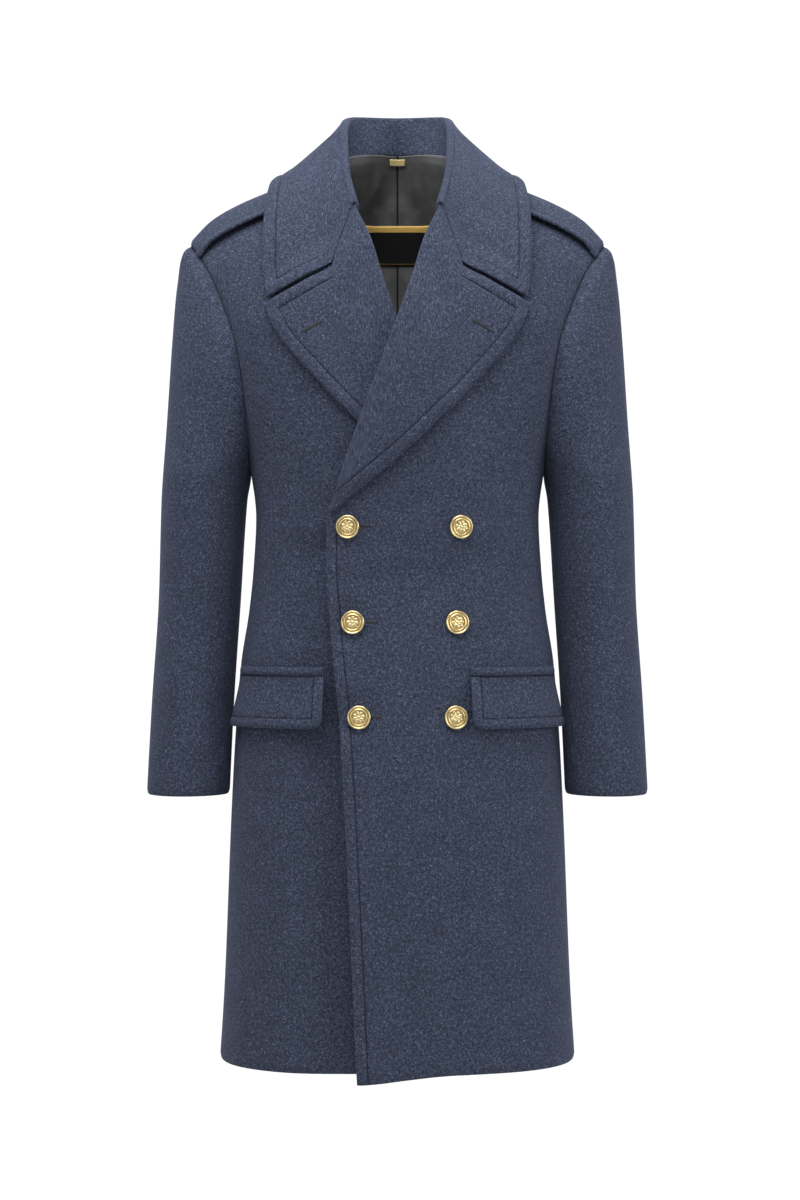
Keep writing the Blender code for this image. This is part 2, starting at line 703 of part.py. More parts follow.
def inside_patch(half_width, bottom, top, size, gap, linings):
    """A small flat piece sewn on the inner face of the back lining."""
    bpy.context.view_layer.update()
    graph = bpy.context.evaluated_depsgraph_get()
    trees = [BVHTree.FromObject(lining, graph) for lining in linings]
    columns, rows = size
    under = np.empty((rows, columns, 3))
    normal = np.empty((rows, columns, 3))
    for r, z in enumerate(np.linspace(bottom, top, rows)):
        for c, x in enumerate(np.linspace(-half_width, half_width, columns)):
            start = Vector((x, 0.0, z))
            found = [tree.ray_cast(start, Vector((0.0, 1.0, 0.0))) for tree in trees]
            place, facing, _, _ = next(hit for hit in found if hit[0])
            under[r, c] = place
            normal[r, c] = facing
    return under + normal * (gap + LABEL_CLOTH), under + normal * gap


def button_mesh():
    """A domed shank button turned about +Z."""
    radii = BUTTON_PROFILE.rows[:, 1] * BUTTON_RADIUS
    heights = BUTTON_PROFILE.rows[:, 2]
    profile = bpy.data.meshes.new("button")
    points = [(r, 0.0, h) for r, h in zip(radii, heights)]
    profile.from_pydata(points, [(i, i + 1) for i in range(len(points) - 1)], [])
    return profile


def make_buttons(material):
    profile = button_mesh()

    def depth(x, z):
        return front_depth(x, z, "left")

    for row, height, left, right in BUTTONS.rows:
        for column, x in (("outer", left), ("inner", right)):
            normal = outward(x, height, depth)
            button = add_part(f"button_{column}_{int(row)}", profile, material)
            turned = button.modifiers.new("turned", "SCREW")
            turned.steps = turned.render_steps = BUTTON_SEGMENTS
            turned.use_merge_vertices = True
            turned.merge_threshold = BUTTON_MERGE
            button.rotation_mode = "QUATERNION"
            button.location = on_surface(x, height, depth)
            button.rotation_quaternion = Vector(normal).to_track_quat("Z", "Y")


def main():
    for item in list(bpy.data.objects):
        bpy.data.objects.remove(item)
    bpy.context.scene.collection.children.link(bpy.data.collections.new(COLLECTION))
    materials = {name: make_material(name) for name in COLOURS}
    wool = materials["wool"]

    for name, (grid, normals) in sewn_panels().items():
        gap = SEAM_GAP
        if name.startswith("sleeve"):
            gap = SLEEVE_SEAM_GAP
            grid = grid + np.array([SEAM_GAP, 0, 0]) * (1 if name.endswith("left") else -1)
        face = drawn_in(grid, gap / 2)
        back = face - normals * WOOL
        if name.startswith("sleeve_top"):
            side = name.rpartition("_")[2]
            for length, walls in zip(SLEEVE_LENGTHS, in_lengths(face, back, SLEEVE_CUTS)):
                cloth(f"sleeve_top_{length}_{side}", *walls, wool)
        else:
            cloth(name, face, back, wool)

    for side in ("left", "right"):
        laid = {
            "lapel": lapel(side),
            "shoulder_strap": shoulder_strap(),
            "pocket_welt": pocket_piece(side, WELT_TOP, WELT_BOTTOM, 0.0, WELT_ROWS),
            "pocket_flap": pocket_piece(side, FLAP_TOP, FLAP_BOTTOM, FLAP_CORNER, FLAP_ROWS),
        }
        for name, (face, under) in laid.items():
            if side == "right":
                face, under = mirrored(face), mirrored(under)
            cloth(f"{name}_{side}", face, under, wool)

    half = collar_half()
    under = np.concatenate([mirrored(half[:0:-1]), half])
    upper = normals_of(under)
    upper *= -np.sign(upper[COLLAR_STATIONS, 2, 1])
    cloth("collar", under + upper * COLLAR_CLOTH, under, wool)

    face, under = lining_half()
    linings = [
        cloth("lining_left", face, under, materials["lining"]),
        cloth("lining_right", mirrored(face), mirrored(under), materials["lining"]),
    ]
    label = inside_patch(LABEL_HALF_WIDTH, LABEL_BOTTOM, LABEL_TOP, LABEL_GRID, LABEL_GAP, linings)
    tab = inside_patch(TAB_HALF_WIDTH, TAB_BOTTOM, TAB_TOP, TAB_GRID, LAID_GAP, linings)
    cloth("neck_label", *label, materials["label"])
    cloth("neck_tab", *tab, materials["tab"])
    make_buttons(materials["brass"])


main()
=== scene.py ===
"""Finish of a double-breasted wool greatcoat, filled out as if worn: cloth shells, topstitching,
buttonholes, lining, label, buttons and materials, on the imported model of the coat.

Metres, +Z up. The front faces -Y and the wearer's left is +X.
"""

import math
from functools import partial

import bmesh
import bpy
import numpy as np
from mathutils import Matrix, Vector

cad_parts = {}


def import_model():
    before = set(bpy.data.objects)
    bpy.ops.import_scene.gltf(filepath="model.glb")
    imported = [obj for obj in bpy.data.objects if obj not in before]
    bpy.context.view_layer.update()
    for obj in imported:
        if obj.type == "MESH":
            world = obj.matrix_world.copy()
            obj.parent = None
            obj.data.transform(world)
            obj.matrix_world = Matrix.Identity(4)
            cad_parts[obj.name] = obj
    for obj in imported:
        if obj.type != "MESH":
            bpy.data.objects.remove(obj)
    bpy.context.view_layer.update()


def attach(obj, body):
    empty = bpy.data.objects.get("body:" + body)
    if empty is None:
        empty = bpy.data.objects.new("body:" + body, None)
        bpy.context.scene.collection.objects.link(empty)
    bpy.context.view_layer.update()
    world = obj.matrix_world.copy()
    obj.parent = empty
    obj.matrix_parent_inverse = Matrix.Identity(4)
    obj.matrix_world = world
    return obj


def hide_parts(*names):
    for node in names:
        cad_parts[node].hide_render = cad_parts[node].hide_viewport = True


BODY_NAME = "root"


class Table:
    """Rows of sizes under named columns, read smoothly against the first column."""

    def __init__(self, columns, rows):
        self.columns = columns.split()
        self.rows = np.array(sorted(rows), float)

    def at(self, key, column):
        keys = self.rows[:, 0]
        values = self.rows[:, self.columns.index(column)]
        secants = np.diff(values) / np.diff(keys)
        before, after = secants[:-1], secants[1:]
        turning = before * after <= 0
        mean = 2 * before * after / np.where(turning, 1.0, before + after)
        inner = np.where(turning, 0.0, mean)
        slopes = np.concatenate([secants[:1], inner, secants[-1:]])
        key = np.clip(key, keys[0], keys[-1])
        i = np.clip(np.searchsorted(keys, key) - 1, 0, len(keys) - 2)
        step = keys[i + 1] - keys[i]
        t = (key - keys[i]) / step
        start = (1 + 2 * t) * (1 - t) ** 2 * values[i] + t * (1 - t) ** 2 * step * slopes[i]
        end = t * t * (3 - 2 * t) * values[i + 1] + t * t * (t - 1) * step * slopes[i + 1]
        return start + end


# Cloth thicknesses and clearances
WOOL = 0.0026
LAPEL_CLOTH = 0.0032
COLLAR_CLOTH = 0.0032
TRIM_CLOTH = 0.0030
LINING_CLOTH = 0.0010
LABEL_CLOTH = 0.0010
LAID_GAP = 0.0005
LAPEL_GAP = 0.0012
COLLAR_GAP = 0.0014
STRAP_GAP = 0.0008
LABEL_GAP = 0.0012

# Heights of the main levels
HEM = -1.012
UNDERARM = -0.345
SHOULDER_TIP = -0.083
CUFF = -0.711

# The filled-out body: a squarish oval at each height, wider than the armhole above the underarm
BODY = Table("height half_width front back", [
    (-1.025, 0.204, 0.151, 0.151), (-0.929, 0.198, 0.147, 0.147), (-0.729, 0.190, 0.140, 0.141),
    (-0.634, 0.185, 0.134, 0.136), (-0.561, 0.179, 0.129, 0.128), (-0.503, 0.170, 0.124, 0.120),
    (-0.454, 0.165, 0.121, 0.113), (-0.396, 0.162, 0.122, 0.109), (-0.345, 0.168, 0.125, 0.111),
    (-0.282, 0.185, 0.128, 0.116), (-0.240, 0.197, 0.128, 0.120), (-0.190, 0.208, 0.125, 0.123),
    (-0.150, 0.222, 0.119, 0.124), (-0.100, 0.245, 0.110, 0.119), (-0.050, 0.260, 0.099, 0.108),
    (0.000, 0.268, 0.086, 0.096), (0.040, 0.272, 0.076, 0.084),
])
BODY_SQUARENESS = 2.5
FACING = {"front": -1, "back": 1}

# The shoulder line seen from the front, and how the body rounds over it
SHOULDER = Table("across height", [
    (0.000, 0.170), (0.020, 0.125), (0.040, 0.080), (0.060, 0.038), (0.075, 0.007),
    (0.100, -0.006), (0.142, -0.022), (0.182, -0.039), (0.211, -0.056), (0.2375, -0.083),
])
SHOULDER_SEAM_Y = 0.004
SHOULDER_ROUND = 0.17
SHOULDER_DOME = 1.65

# Half the neck seam: 0 at the nape, NECK_POINT at the shoulder seam, 1 where the lapel starts
NECK = Table("along across height", [
    (0.00, 0.000, 0.031), (0.15, 0.026, 0.029), (0.30, 0.051, 0.022), (0.42, 0.068, 0.013),
    (0.52, 0.0755, 0.005), (0.64, 0.069, -0.012), (0.76, 0.060, -0.027), (0.88, 0.051, -0.042),
    (1.00, 0.043, -0.055),
])
NECK_POINT = 0.52

# How far out the armhole seam lies, in front and behind
ARMHOLE = Table("height front back", [
    (-0.345, 0.1680, 0.1680), (-0.325, 0.1682, 0.1690), (-0.282, 0.1707, 0.1745),
    (-0.240, 0.1747, 0.1830), (-0.192, 0.1837, 0.1930), (-0.163, 0.1944, 0.2030),
    (-0.125, 0.2103, 0.2160), (-0.097, 0.2270, 0.2285), (-0.083, 0.2375, 0.2375),
])

# The sleeve: its silhouette from the front, its middle and its depth from the side
SLEEVE = Table("height outer inner middle half_depth", [
    (-0.720, 0.2865, 0.1920, -0.020, 0.058), (-0.711, 0.2860, 0.1915, -0.020, 0.058),
    (-0.603, 0.2810, 0.1870, -0.008, 0.067), (-0.484, 0.2740, 0.1797, 0.002, 0.074),
    (-0.375, 0.2710, 0.1725, 0.002, 0.079), (-0.345, 0.2690, 0.1680, 0.000, 0.080),
    (-0.290, 0.2650, 0.1680, 0.001, 0.080), (-0.197, 0.2590, 0.1680, 0.002, 0.080),
    (-0.135, 0.2540, 0.1680, 0.003, 0.080), (-0.107, 0.2490, 0.1680, 0.004, 0.080),
    (-0.092, 0.2440, 0.1680, 0.004, 0.080), (-0.083, 0.2375, 0.1680, 0.004, 0.080),
])
SLEEVE_UNDERCUT = 2.2
FOREARM_SEAM = math.radians(36)
SLEEVE_SEAM_LOW = UNDERARM - 0.055
SLEEVE_LENGTHS = ("forearm", "arm", "underarm", "cap")

# Front edge below the break of the lapel, and the roll line above it, seen from the front
FRONT_EDGE = Table("height across", [
    (-1.030, -0.0425), (-0.650, -0.0620), (-0.430, -0.0785), (-0.404, -0.0785),
])
ROLL_LINE = Table("height across", [
    (-0.404, -0.0785), (-0.297, -0.0447), (-0.1875, -0.0039), (-0.055, 0.0430),
])
BREAK = -0.404
ROLL_TUCK = 0.0045
ROLL_TUCK_RISE = 0.030
HEM_DIP = 0.009
HEM_DIP_FROM = 0.070
HEM_DIP_POWER = 8

# How far the overlapping front stands off the body form, over the lower front and its lapel,
# and the distance across at which that starts to ease off
OVERLAP = Table("height lift full", [
    (-1.030, 0.0036, 0.052), (-0.650, 0.0036, 0.072), (-0.480, 0.0036, 0.086),
    (-0.410, 0.0086, 0.090), (-0.360, 0.0092, 0.078), (-0.300, 0.0092, 0.058),
    (-0.240, 0.0096, 0.034), (-0.168, 0.0102, 0.014), (-0.105, 0.0030, 0.004),
    (-0.050, 0.0000, 0.002), (0.040, 0.0000, 0.000),
])
OVERLAP_EASE = 0.060

# Shank buttons on the overlapping front: across and height of each
BUTTONS = Table("row height left_column right_column", [
    (1, -0.409, -0.0545, 0.0700), (2, -0.515, -0.0490, 0.0660), (3, -0.6195, -0.0420, 0.0645),
])

# Topstitching: how far in from the edge, and the form it presses into the cloth
STITCH_INSET = {"lapel": 0.0145, "collar": 0.0145, "front": 0.0120, "flap": 0.0115, "strap": 0.0105}
STITCH_PUFF = 0.0015
PUFF_FULLNESS = 0.8
STITCH_GROOVE = 0.0012
STITCH_GROOVE_WIDTH = 0.0011
FAR_FROM_STITCH = 1.0
# Seams are given painted shade: a band along each seam, widened by one over this share, darkens like a stitch
# groove
SEAM_SHADE_SHARE = 0.6
LAST_ROW, FIRST_COLUMN, LAST_COLUMN = 1, 2, 3

# Grid of the shells
GRID_STEP = 0.0042
FINE_GRID_STEP = 0.0023
EDGE_MARKS = np.array([0.0, 0.00025, 0.0008, 0.0016])
PLAIN_END = EDGE_MARKS[:1]
STITCH_MARKS = np.array([-0.0028, -0.0018, -0.0009, 0.0, 0.0009, 0.0018, 0.0028])
FRONT_MARKS = np.concatenate([EDGE_MARKS, [0.003, 0.005, 0.007], STITCH_INSET["front"] + STITCH_MARKS])
TURNED_EDGE = 0.002
SLOPE_STEP = 5e-4
FINE_STEPS = 400
ARC_STEPS = 160
WING_ROWS = 15
CAP_ROWS = 62
CAP_CROWDING = 1.6
CAP_CLEARANCE = 0.0006
HALVINGS = 50
POINTS_AT_ONCE = 4000
LEAST_SIZE = 1e-6
LEAST_STEP = 1e-12
WELD = 1e-6


def ease(value, start, end):
    """0 before start, 1 after end, smooth between."""
    t = np.clip((value - start) / (end - start), 0.0, 1.0)
    return t * t * (3 - 2 * t)


def fade(value, start, end):
    return 1 - ease(value, start, end)


def tent(value, peak):
    return np.minimum(value / peak, (1 - value) / (1 - peak))


def unit(vectors):
    return vectors / np.maximum(np.linalg.norm(vectors, axis=-1, keepdims=True), LEAST_STEP)


def last_place(low, high, holds):
    """The largest value between two at which a condition still holds."""
    for _ in range(HALVINGS):
        middle = (low + high) / 2
        low, high = (middle, high) if holds(middle) else (low, middle)
    return low


def lengths_along(points):
    """Distances from the first row of points, along each column."""
    steps = np.linalg.norm(np.diff(points, axis=0), axis=-1)
    return np.concatenate([np.zeros_like(steps[:1]), np.cumsum(steps, axis=0)])


def lengths_across(grid):
    """Distances from the first column of a grid, along each row."""
    return lengths_along(grid.transpose(1, 0, 2)).T


def placed_along(points, places):
    """Points of a curve at the given distances from its start."""
    along = lengths_along(points)
    return np.stack([np.interp(places, along, column) for column in points.T], axis=1)


def shared_out(points, shares):
    """Points of a curve at the given shares of its length."""
    return placed_along(points, shares * lengths_along(points)[-1])


def spread(length, step, marks_start=EDGE_MARKS, marks_end=EDGE_MARKS):
    """Distances over a length: evenly spread, and close together at rounded ends."""
    inner = length - marks_start[-1] - marks_end[-1]
    count = max(int(round(inner / step)), 2)
    even = np.linspace(marks_start[-1], length - marks_end[-1], count + 1)
    return np.concatenate([marks_start[:-1], even, length - marks_end[-2::-1]])


def spread_shares(length, step, *marks):
    return spread(length, step, *marks) / length


def rows_up(bottom, top):
    """Heights between two levels, close together at the lower one."""
    return bottom + spread(top - bottom, GRID_STEP, EDGE_MARKS, PLAIN_END)


def ruled(curves, step):
    """A grid with its rows on several curves, all spread alike, and the shares they are spread by."""
    shares = spread_shares(lengths_along(curves[0])[-1], step)
    return np.array([shared_out(curve, shares) for curve in curves]), shares


def normals_of(grid):
    return unit(np.cross(np.gradient(grid, axis=1), np.gradient(grid, axis=0)))


def raised(face, facing, lift):
    """A face moved out along the way it faces."""
    return face + facing * lift[..., None]


def mirrored(grid):
    return grid * np.array([-1.0, 1.0, 1.0])


SIDES = (("left", np.array), ("right", mirrored))


# The form of the coat, as in the model


def body_depth(x, z, side):
    """Y of the filled-out body's front or back surface."""
    across = np.minimum(np.abs(x) / BODY.at(z, "half_width"), 1.0)
    plain = BODY.at(z, side) * (1 - across**BODY_SQUARENESS) ** (1 / BODY_SQUARENESS)
    drop = np.clip((SHOULDER.at(np.abs(x), "height") - z) / SHOULDER_ROUND, 0.0, 1.0)
    rounded = (1 - (1 - drop) ** SHOULDER_DOME) ** (1 / SHOULDER_DOME)
    return SHOULDER_SEAM_Y * (1 - rounded) + FACING[side] * plain * rounded


back_depth = partial(body_depth, side="back")


def front_depth(x, z, side):
    """Y of the outer face of a front, on the wearer's left side's own x axis."""
    if side == "right":
        return body_depth(x, z, "front")
    full = OVERLAP.at(z, "full")
    lift = OVERLAP.at(z, "lift") * fade(x, full, full + OVERLAP_EASE)
    return body_depth(x, z, "front") - lift


def on_surface(x, z, depth):
    x, z = np.broadcast_arrays(np.asarray(x, float), np.asarray(z, float))
    return np.stack([x, depth(x, z), z], axis=-1)


def outward(x, z, depth):
    """Unit normals of a front surface, away from the wearer."""
    along_x = on_surface(x + SLOPE_STEP, z, depth) - on_surface(x - SLOPE_STEP, z, depth)
    along_z = on_surface(x, z + SLOPE_STEP, depth) - on_surface(x, z - SLOPE_STEP, depth)
    return unit(np.cross(along_x, along_z))


def level_curve(z, start, end, depth):
    width = BODY.at(z, "half_width")
    angles = np.linspace(math.asin(start / width), math.asin(min(end / width, 1.0)), FINE_STEPS)
    return on_surface(width * np.sin(angles), z, depth)


def patch(bottom, top, left, right, shares):
    """A grid of (x, z) points filled in between its four edges."""
    u = shares[None, :, None]
    v = ((right[:, 1] - right[0, 1]) / (right[-1, 1] - right[0, 1]))[:, None, None]
    rows = (1 - v) * bottom[None] + v * top[None]
    columns = (1 - u) * left[:, None] + u * right[:, None]
    low = (1 - u) * bottom[0] + u * bottom[-1]
    high = (1 - u) * top[0] + u * top[-1]
    return rows + columns - (1 - v) * low - v * high


def sleeve_section(z, side):
    """Middle x, half width, half depth and starting angle of the sleeve's front or back half."""
    outer = SLEEVE.at(z, "outer")
    if z <= UNDERARM:
        inner = SLEEVE.at(z, "inner")
        return (inner + outer) / 2, (outer - inner) / 2, SLEEVE.at(z, "half_depth"), 0.0
    seam_x = ARMHOLE.at(z, side)
    rise = np.clip((z - UNDERARM) / (SHOULDER_TIP - UNDERARM), 0.0, 1.0)
    wrap = SLEEVE.at(z, "half_depth") * (1 - rise) ** SLEEVE_UNDERCUT
    reach = abs(body_depth(seam_x, z, side) - SLEEVE.at(z, "middle"))
    half_depth = max(math.hypot(wrap, reach), LEAST_SIZE)
    turn = wrap / half_depth
    middle = (seam_x + turn * outer) / (1 + turn)
    return middle, outer - middle, half_depth, math.acos(min(turn, 1.0))


def sleeve_points(z, angles, side):
    """Points of the sleeve at one height: angle 0 is its inner side, half a turn its outer side."""
    angles = np.asarray(angles, float)
    middle, half_width, half_depth, _ = sleeve_section(z, side)
    y = SLEEVE.at(z, "middle") + FACING[side] * half_depth * np.sin(angles)
    return np.stack([middle - half_width * np.cos(angles), y, np.full_like(angles, z)], axis=-1)


def seam_meets_armhole():
    """Height at which the forearm seam runs into the armhole."""
    def under_seam(z):
        return sleeve_section(z, "front")[3] < FOREARM_SEAM

    return last_place(UNDERARM, SHOULDER_TIP, under_seam)


def armhole_rows():
    """Heights shared by the armhole edges of the body and the sleeve."""
    meets = seam_meets_armhole()
    wings = np.linspace(UNDERARM, meets, WING_ROWS)
    rest = 1 - (1 - np.linspace(0, 1, CAP_ROWS)) ** CAP_CROWDING
    cap = meets + (SHOULDER_TIP - CAP_CLEARANCE - meets) * rest
    return np.concatenate([wings, cap[1:]])


def neck_points(along):
    return np.stack([NECK.at(along, "across"), NECK.at(along, "height")], axis=-1)


def shoulder_seam():
    across = np.linspace(NECK.at(NECK_POINT, "across"), ARMHOLE.at(SHOULDER_TIP, "front"), FINE_STEPS)
    return np.stack([across, SHOULDER.at(across, "height")], axis=-1)


def front_start(z):
    if z <= BREAK:
        return FRONT_EDGE.at(z, "across")
    return ROLL_LINE.at(z, "across") + ROLL_TUCK * ease(z, BREAK, BREAK + ROLL_TUCK_RISE)


def with_upper(lower, edge, top, shares, side, depth):
    """A panel's rows below the underarm, and the patch above them from its inner edge to the armhole."""
    heights = armhole_rows()
    rise = (heights - heights[0]) / (heights[-1] - heights[0])
    right = np.stack([ARMHOLE.at(heights, side), heights], axis=-1)
    flat = patch(lower[-1][:, [0, 2]], shared_out(top, shares), shared_out(edge, rise), right, shares)
    upper = on_surface(flat[..., 0], flat[..., 1], depth)
    return np.concatenate([np.array(lower), upper[1:]])


def front_panel(side):
    depth = partial(front_depth, side=side)
    lower, columns = [], None
    for z in rows_up(HEM, UNDERARM):
        curve = level_curve(z, front_start(z), BODY.at(z, "half_width"), depth)
        length = lengths_along(curve)[-1]
        if columns is None:
            columns = int(round((length - FRONT_MARKS[-1]) / GRID_STEP))
        rest = np.linspace(FRONT_MARKS[-1], length - EDGE_MARKS[-1], columns)
        places = np.concatenate([FRONT_MARKS[:-1], rest, length - EDGE_MARKS[-2::-1]])
        row = placed_along(curve, places)
        if side == "left":
            fall = (UNDERARM - z) / (UNDERARM - HEM)
            near_edge = fade(row[:, 0], FRONT_EDGE.at(HEM, "across"), HEM_DIP_FROM)
            row[:, 2] -= HEM_DIP * fall**HEM_DIP_POWER * near_edge
        lower.append(row)
    roll_z = np.linspace(UNDERARM, ROLL_LINE.rows[-1, 0], FINE_STEPS)
    roll = np.stack([[front_start(z) for z in roll_z], roll_z], axis=-1)
    edge = np.concatenate([roll, neck_points(np.linspace(1, NECK_POINT, FINE_STEPS))[1:]])
    return with_upper(lower, edge, shoulder_seam(), places / places[-1], "front", depth)


def back_panel():
    levels = rows_up(HEM, UNDERARM)
    curves = [level_curve(z, 0.0, BODY.at(z, "half_width"), back_depth) for z in levels]
    lower, shares = ruled(curves, GRID_STEP)
    edge = np.array([[0.0, UNDERARM], [0.0, NECK.at(0.0, "height")]])
    neck = neck_points(np.linspace(0, NECK_POINT, FINE_STEPS))
    top = np.concatenate([neck, shoulder_seam()[1:]])
    return with_upper(lower, edge, top, shares, "back", back_depth)


def sleeve_top():
    meets = seam_meets_armhole()
    hind = sleeve_section(meets, "back")[3]
    low = rows_up(CUFF, SLEEVE_SEAM_LOW)
    rise = np.linspace(SLEEVE_SEAM_LOW, meets, WING_ROWS + 1)[1:]
    curves = []
    for z in np.concatenate([low, rise, armhole_rows()[WING_ROWS:]]):
        front = max(sleeve_section(z, "front")[3], FOREARM_SEAM)
        back = max(sleeve_section(z, "back")[3], hind)
        curves.append(np.concatenate([
            sleeve_points(z, np.linspace(front, math.pi, ARC_STEPS), "front"),
            sleeve_points(z, np.linspace(math.pi, back, ARC_STEPS)[1:], "back"),
        ]))
    return ruled(curves, GRID_STEP)[0]


def sleeve_under():
    wings = armhole_rows()[:WING_ROWS]
    low = rows_up(CUFF, SLEEVE_SEAM_LOW)
    columns = [(z, "back") for z in wings[::-1]] + [(z, "front") for z in wings[1:]]
    grid = []
    for top, side in columns:
        angle = sleeve_section(top, side)[3]
        heights = np.concatenate([low, np.linspace(SLEEVE_SEAM_LOW, top, WING_ROWS + 1)[1:]])
        grid.append([sleeve_points(z, [angle], side)[0] for z in heights])
    return np.array(grid).transpose(1, 0, 2)


# Shells of cloth


def nearest(points, line):
    """Distance of each grid point from the points of a line."""
    flat = points.reshape(-1, 3)
    far = np.empty(len(flat))
    for start in range(0, len(flat), POINTS_AT_ONCE):
        part = slice(start, start + POINTS_AT_ONCE)
        far[part] = np.sqrt(((flat[part, None] - line[None]) ** 2).sum(-1)).min(axis=1)
    return far.reshape(points.shape[:2])


def stitched(distance, inset):
    """Height of the cloth between an edge and its topstitching, and the groove of the stitches."""
    share = np.clip(distance / inset, 0.0, 1.0)
    puff = STITCH_PUFF * np.sin(math.pi * share) ** PUFF_FULLNESS
    groove = STITCH_GROOVE * np.exp(-(((distance - inset) / STITCH_GROOVE_WIDTH) ** 2))
    return puff - groove


def lifted(distance, edge_lift, reach):
    """How far cloth stands away near a free edge."""
    return edge_lift * fade(distance, 0.0, reach)


def edge_ways(grid):
    """How far each point lies from the first row, last row, first column and last column."""
    rows, columns = lengths_along(grid), lengths_across(grid)
    return rows, rows[-1:] - rows, columns, columns[:, -1:] - columns


def edge_drop(grid, rounds):
    """How far the face sinks where it rounds over its first row, last row, first and last column."""
    drop = np.zeros(grid.shape[:2])
    for way, radius in zip(edge_ways(grid), rounds):
        inside = np.clip(radius - way, 0.0, radius)
        drop = np.maximum(drop, radius - np.sqrt(radius**2 - inside**2))
    return drop


def shell_mesh(name, face, facing, thickness, rounds, relief, stitch, seams):
    """A closed sheet of cloth behind a grid of face points, with rounded edges, a UV map in metres and
    the distance from its stitches and seams. Gives its mesh and the points of its raised face."""
    rows, columns = face.shape[:2]
    count = rows * columns
    drop = edge_drop(face, rounds)
    front = raised(face, facing, relief - drop)
    back = raised(face, facing, np.minimum(drop, thickness / 2) - thickness)
    points = np.concatenate([front.reshape(-1, 3), back.reshape(-1, 3)])
    index = np.arange(count).reshape(rows, columns)
    quads = np.stack([index[:-1, :-1], index[:-1, 1:], index[1:, 1:], index[1:, :-1]], axis=-1)
    quads = quads.reshape(-1, 4)
    around = np.concatenate([index[0], index[1:, -1], index[-1, -2::-1], index[-2:0:-1, 0]])
    ahead = np.roll(around, -1)
    rim = np.stack([ahead, around, around + count, ahead + count], axis=-1)
    faces = np.concatenate([quads, quads[:, ::-1] + count, rim])
    data = bpy.data.meshes.new(name)
    data.from_pydata(points.tolist(), [], faces.tolist())
    flat = np.stack([lengths_across(face), lengths_along(face)], axis=-1).reshape(-1, 2)
    at_corner = np.empty(len(data.loops), np.int32)
    data.loops.foreach_get("vertex_index", at_corner)
    layer = data.uv_layers.new(name="UVMap")
    layer.data.foreach_set("uv", np.tile(flat, (2, 1))[at_corner].astype(np.float32).ravel())
    distance = np.broadcast_to(stitch, drop.shape)
    # Painted shade along seams: each seam counts as a stitch line for the wool's darkening.
    for edge in seams:
        way = SEAM_SHADE_SHARE * edge_ways(face)[edge]
        distance = np.where(way < np.abs(distance), way, distance)
    distance = np.concatenate([distance.ravel(), np.full(count, FAR_FROM_STITCH)])
    marked = data.attributes.new("stitch_offset", "FLOAT", "POINT")
    marked.data.foreach_set("value", distance.astype(np.float32))
    return data, front


def new_piece(name, data, finish, nodes=()):
    """A piece from a mesh whose double points are merged and whose faces are turned outwards."""
    mesh = bmesh.new()
    mesh.from_mesh(data)
    bmesh.ops.remove_doubles(mesh, verts=mesh.verts[:], dist=WELD)
    bmesh.ops.recalc_face_normals(mesh, faces=mesh.faces[:])
    if mesh.calc_volume(signed=True) < 0:
        bmesh.ops.reverse_faces(mesh, faces=mesh.faces[:])
    mesh.to_mesh(data)
    mesh.free()
    data.shade_smooth()
    piece = bpy.data.objects.new(name, data)
    bpy.context.scene.collection.objects.link(piece)
    material, slot = finish
    data.materials.append(material)
    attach(piece, BODY_NAME)
    if nodes:
        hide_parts(*nodes)
    return piece


def cloth_piece(name, nodes, finish, face, facing, thickness, rounds=None,
                relief=0.0, stitch=FAR_FROM_STITCH, seams=()):
    """A sheet of cloth that stands for its nodes. Its edges are
    half as round as the cloth is thick unless rounds says otherwise."""
    rounds = rounds or (thickness / 2,) * 4
    data, front = shell_mesh(name, face, facing, thickness, rounds, relief, stitch, seams)
    piece = new_piece(name, data, finish, nodes)
    width = lengths_across(face)[:, -1].max() + 2 * TURNED_EDGE
    length = lengths_along(face)[-1].max() + 2 * TURNED_EDGE
    sides = np.cross(np.diff(face, axis=1)[:-1], np.diff(face, axis=0)[:, :-1])
    return front


def cloth_pair(name, nodes, finish, face, facing, *form, **more):
    """The same piece of cloth on the left and, mirrored, on the right."""
    return [
        cloth_piece(f"{name}_{side}", [f"{node}_{side}" for node in nodes], finish,
                    place(face), place(facing), *form, **more)
        for side, place in SIDES
    ]


def stitch_line(values, level, grid, by_rows):
    """Where a distance first reaches a level, along each row or column of a grid."""
    if not by_rows:
        values, grid = values.T, grid.transpose(1, 0, 2)
    found = []
    for row, points in zip(values, grid):
        below = row < level
        turns = np.nonzero(below[:-1] != below[1:])[0]
        if len(turns):
            k = turns[-1] if below[-1] else turns[0]
            share = (level - row[k]) / (row[k + 1] - row[k])
            found.append(points[k] + (points[k + 1] - points[k]) * share)
    return np.array(found)


threads = []


def sew(values, level, grid, facing, by_rows, part=np.s_[:]):
    """Keeps a line of topstitching over part of a piece, with the way its cloth faces, for the threads."""
    line = stitch_line(values[part], level, grid[part], by_rows)
    if len(line) > 1:
        threads.append((line, stitch_line(values[part], level, facing[part], by_rows)))


# Materials


def linear(code):
    """An sRGB hex colour as linear red, green, blue and alpha."""
    parts = [int(code[i:i + 2], 16) / 255 for i in (1, 3, 5)]
    return (*[p / 12.92 if p <= 0.04045 else ((p + 0.055) / 1.055) ** 2.4 for p in parts], 1.0)


# Sockets of a Mix node that mixes colours
COLOUR_A, COLOUR_B, MIXED = 6, 7, 2


def connect(tree, node, links):
    """Gives inputs of a node a value, or the output of another node."""
    for socket, value in links.items():
        if isinstance(value, bpy.types.NodeSocket):
            tree.links.new(value, node.inputs[socket])
        else:
            node.inputs[socket].default_value = value


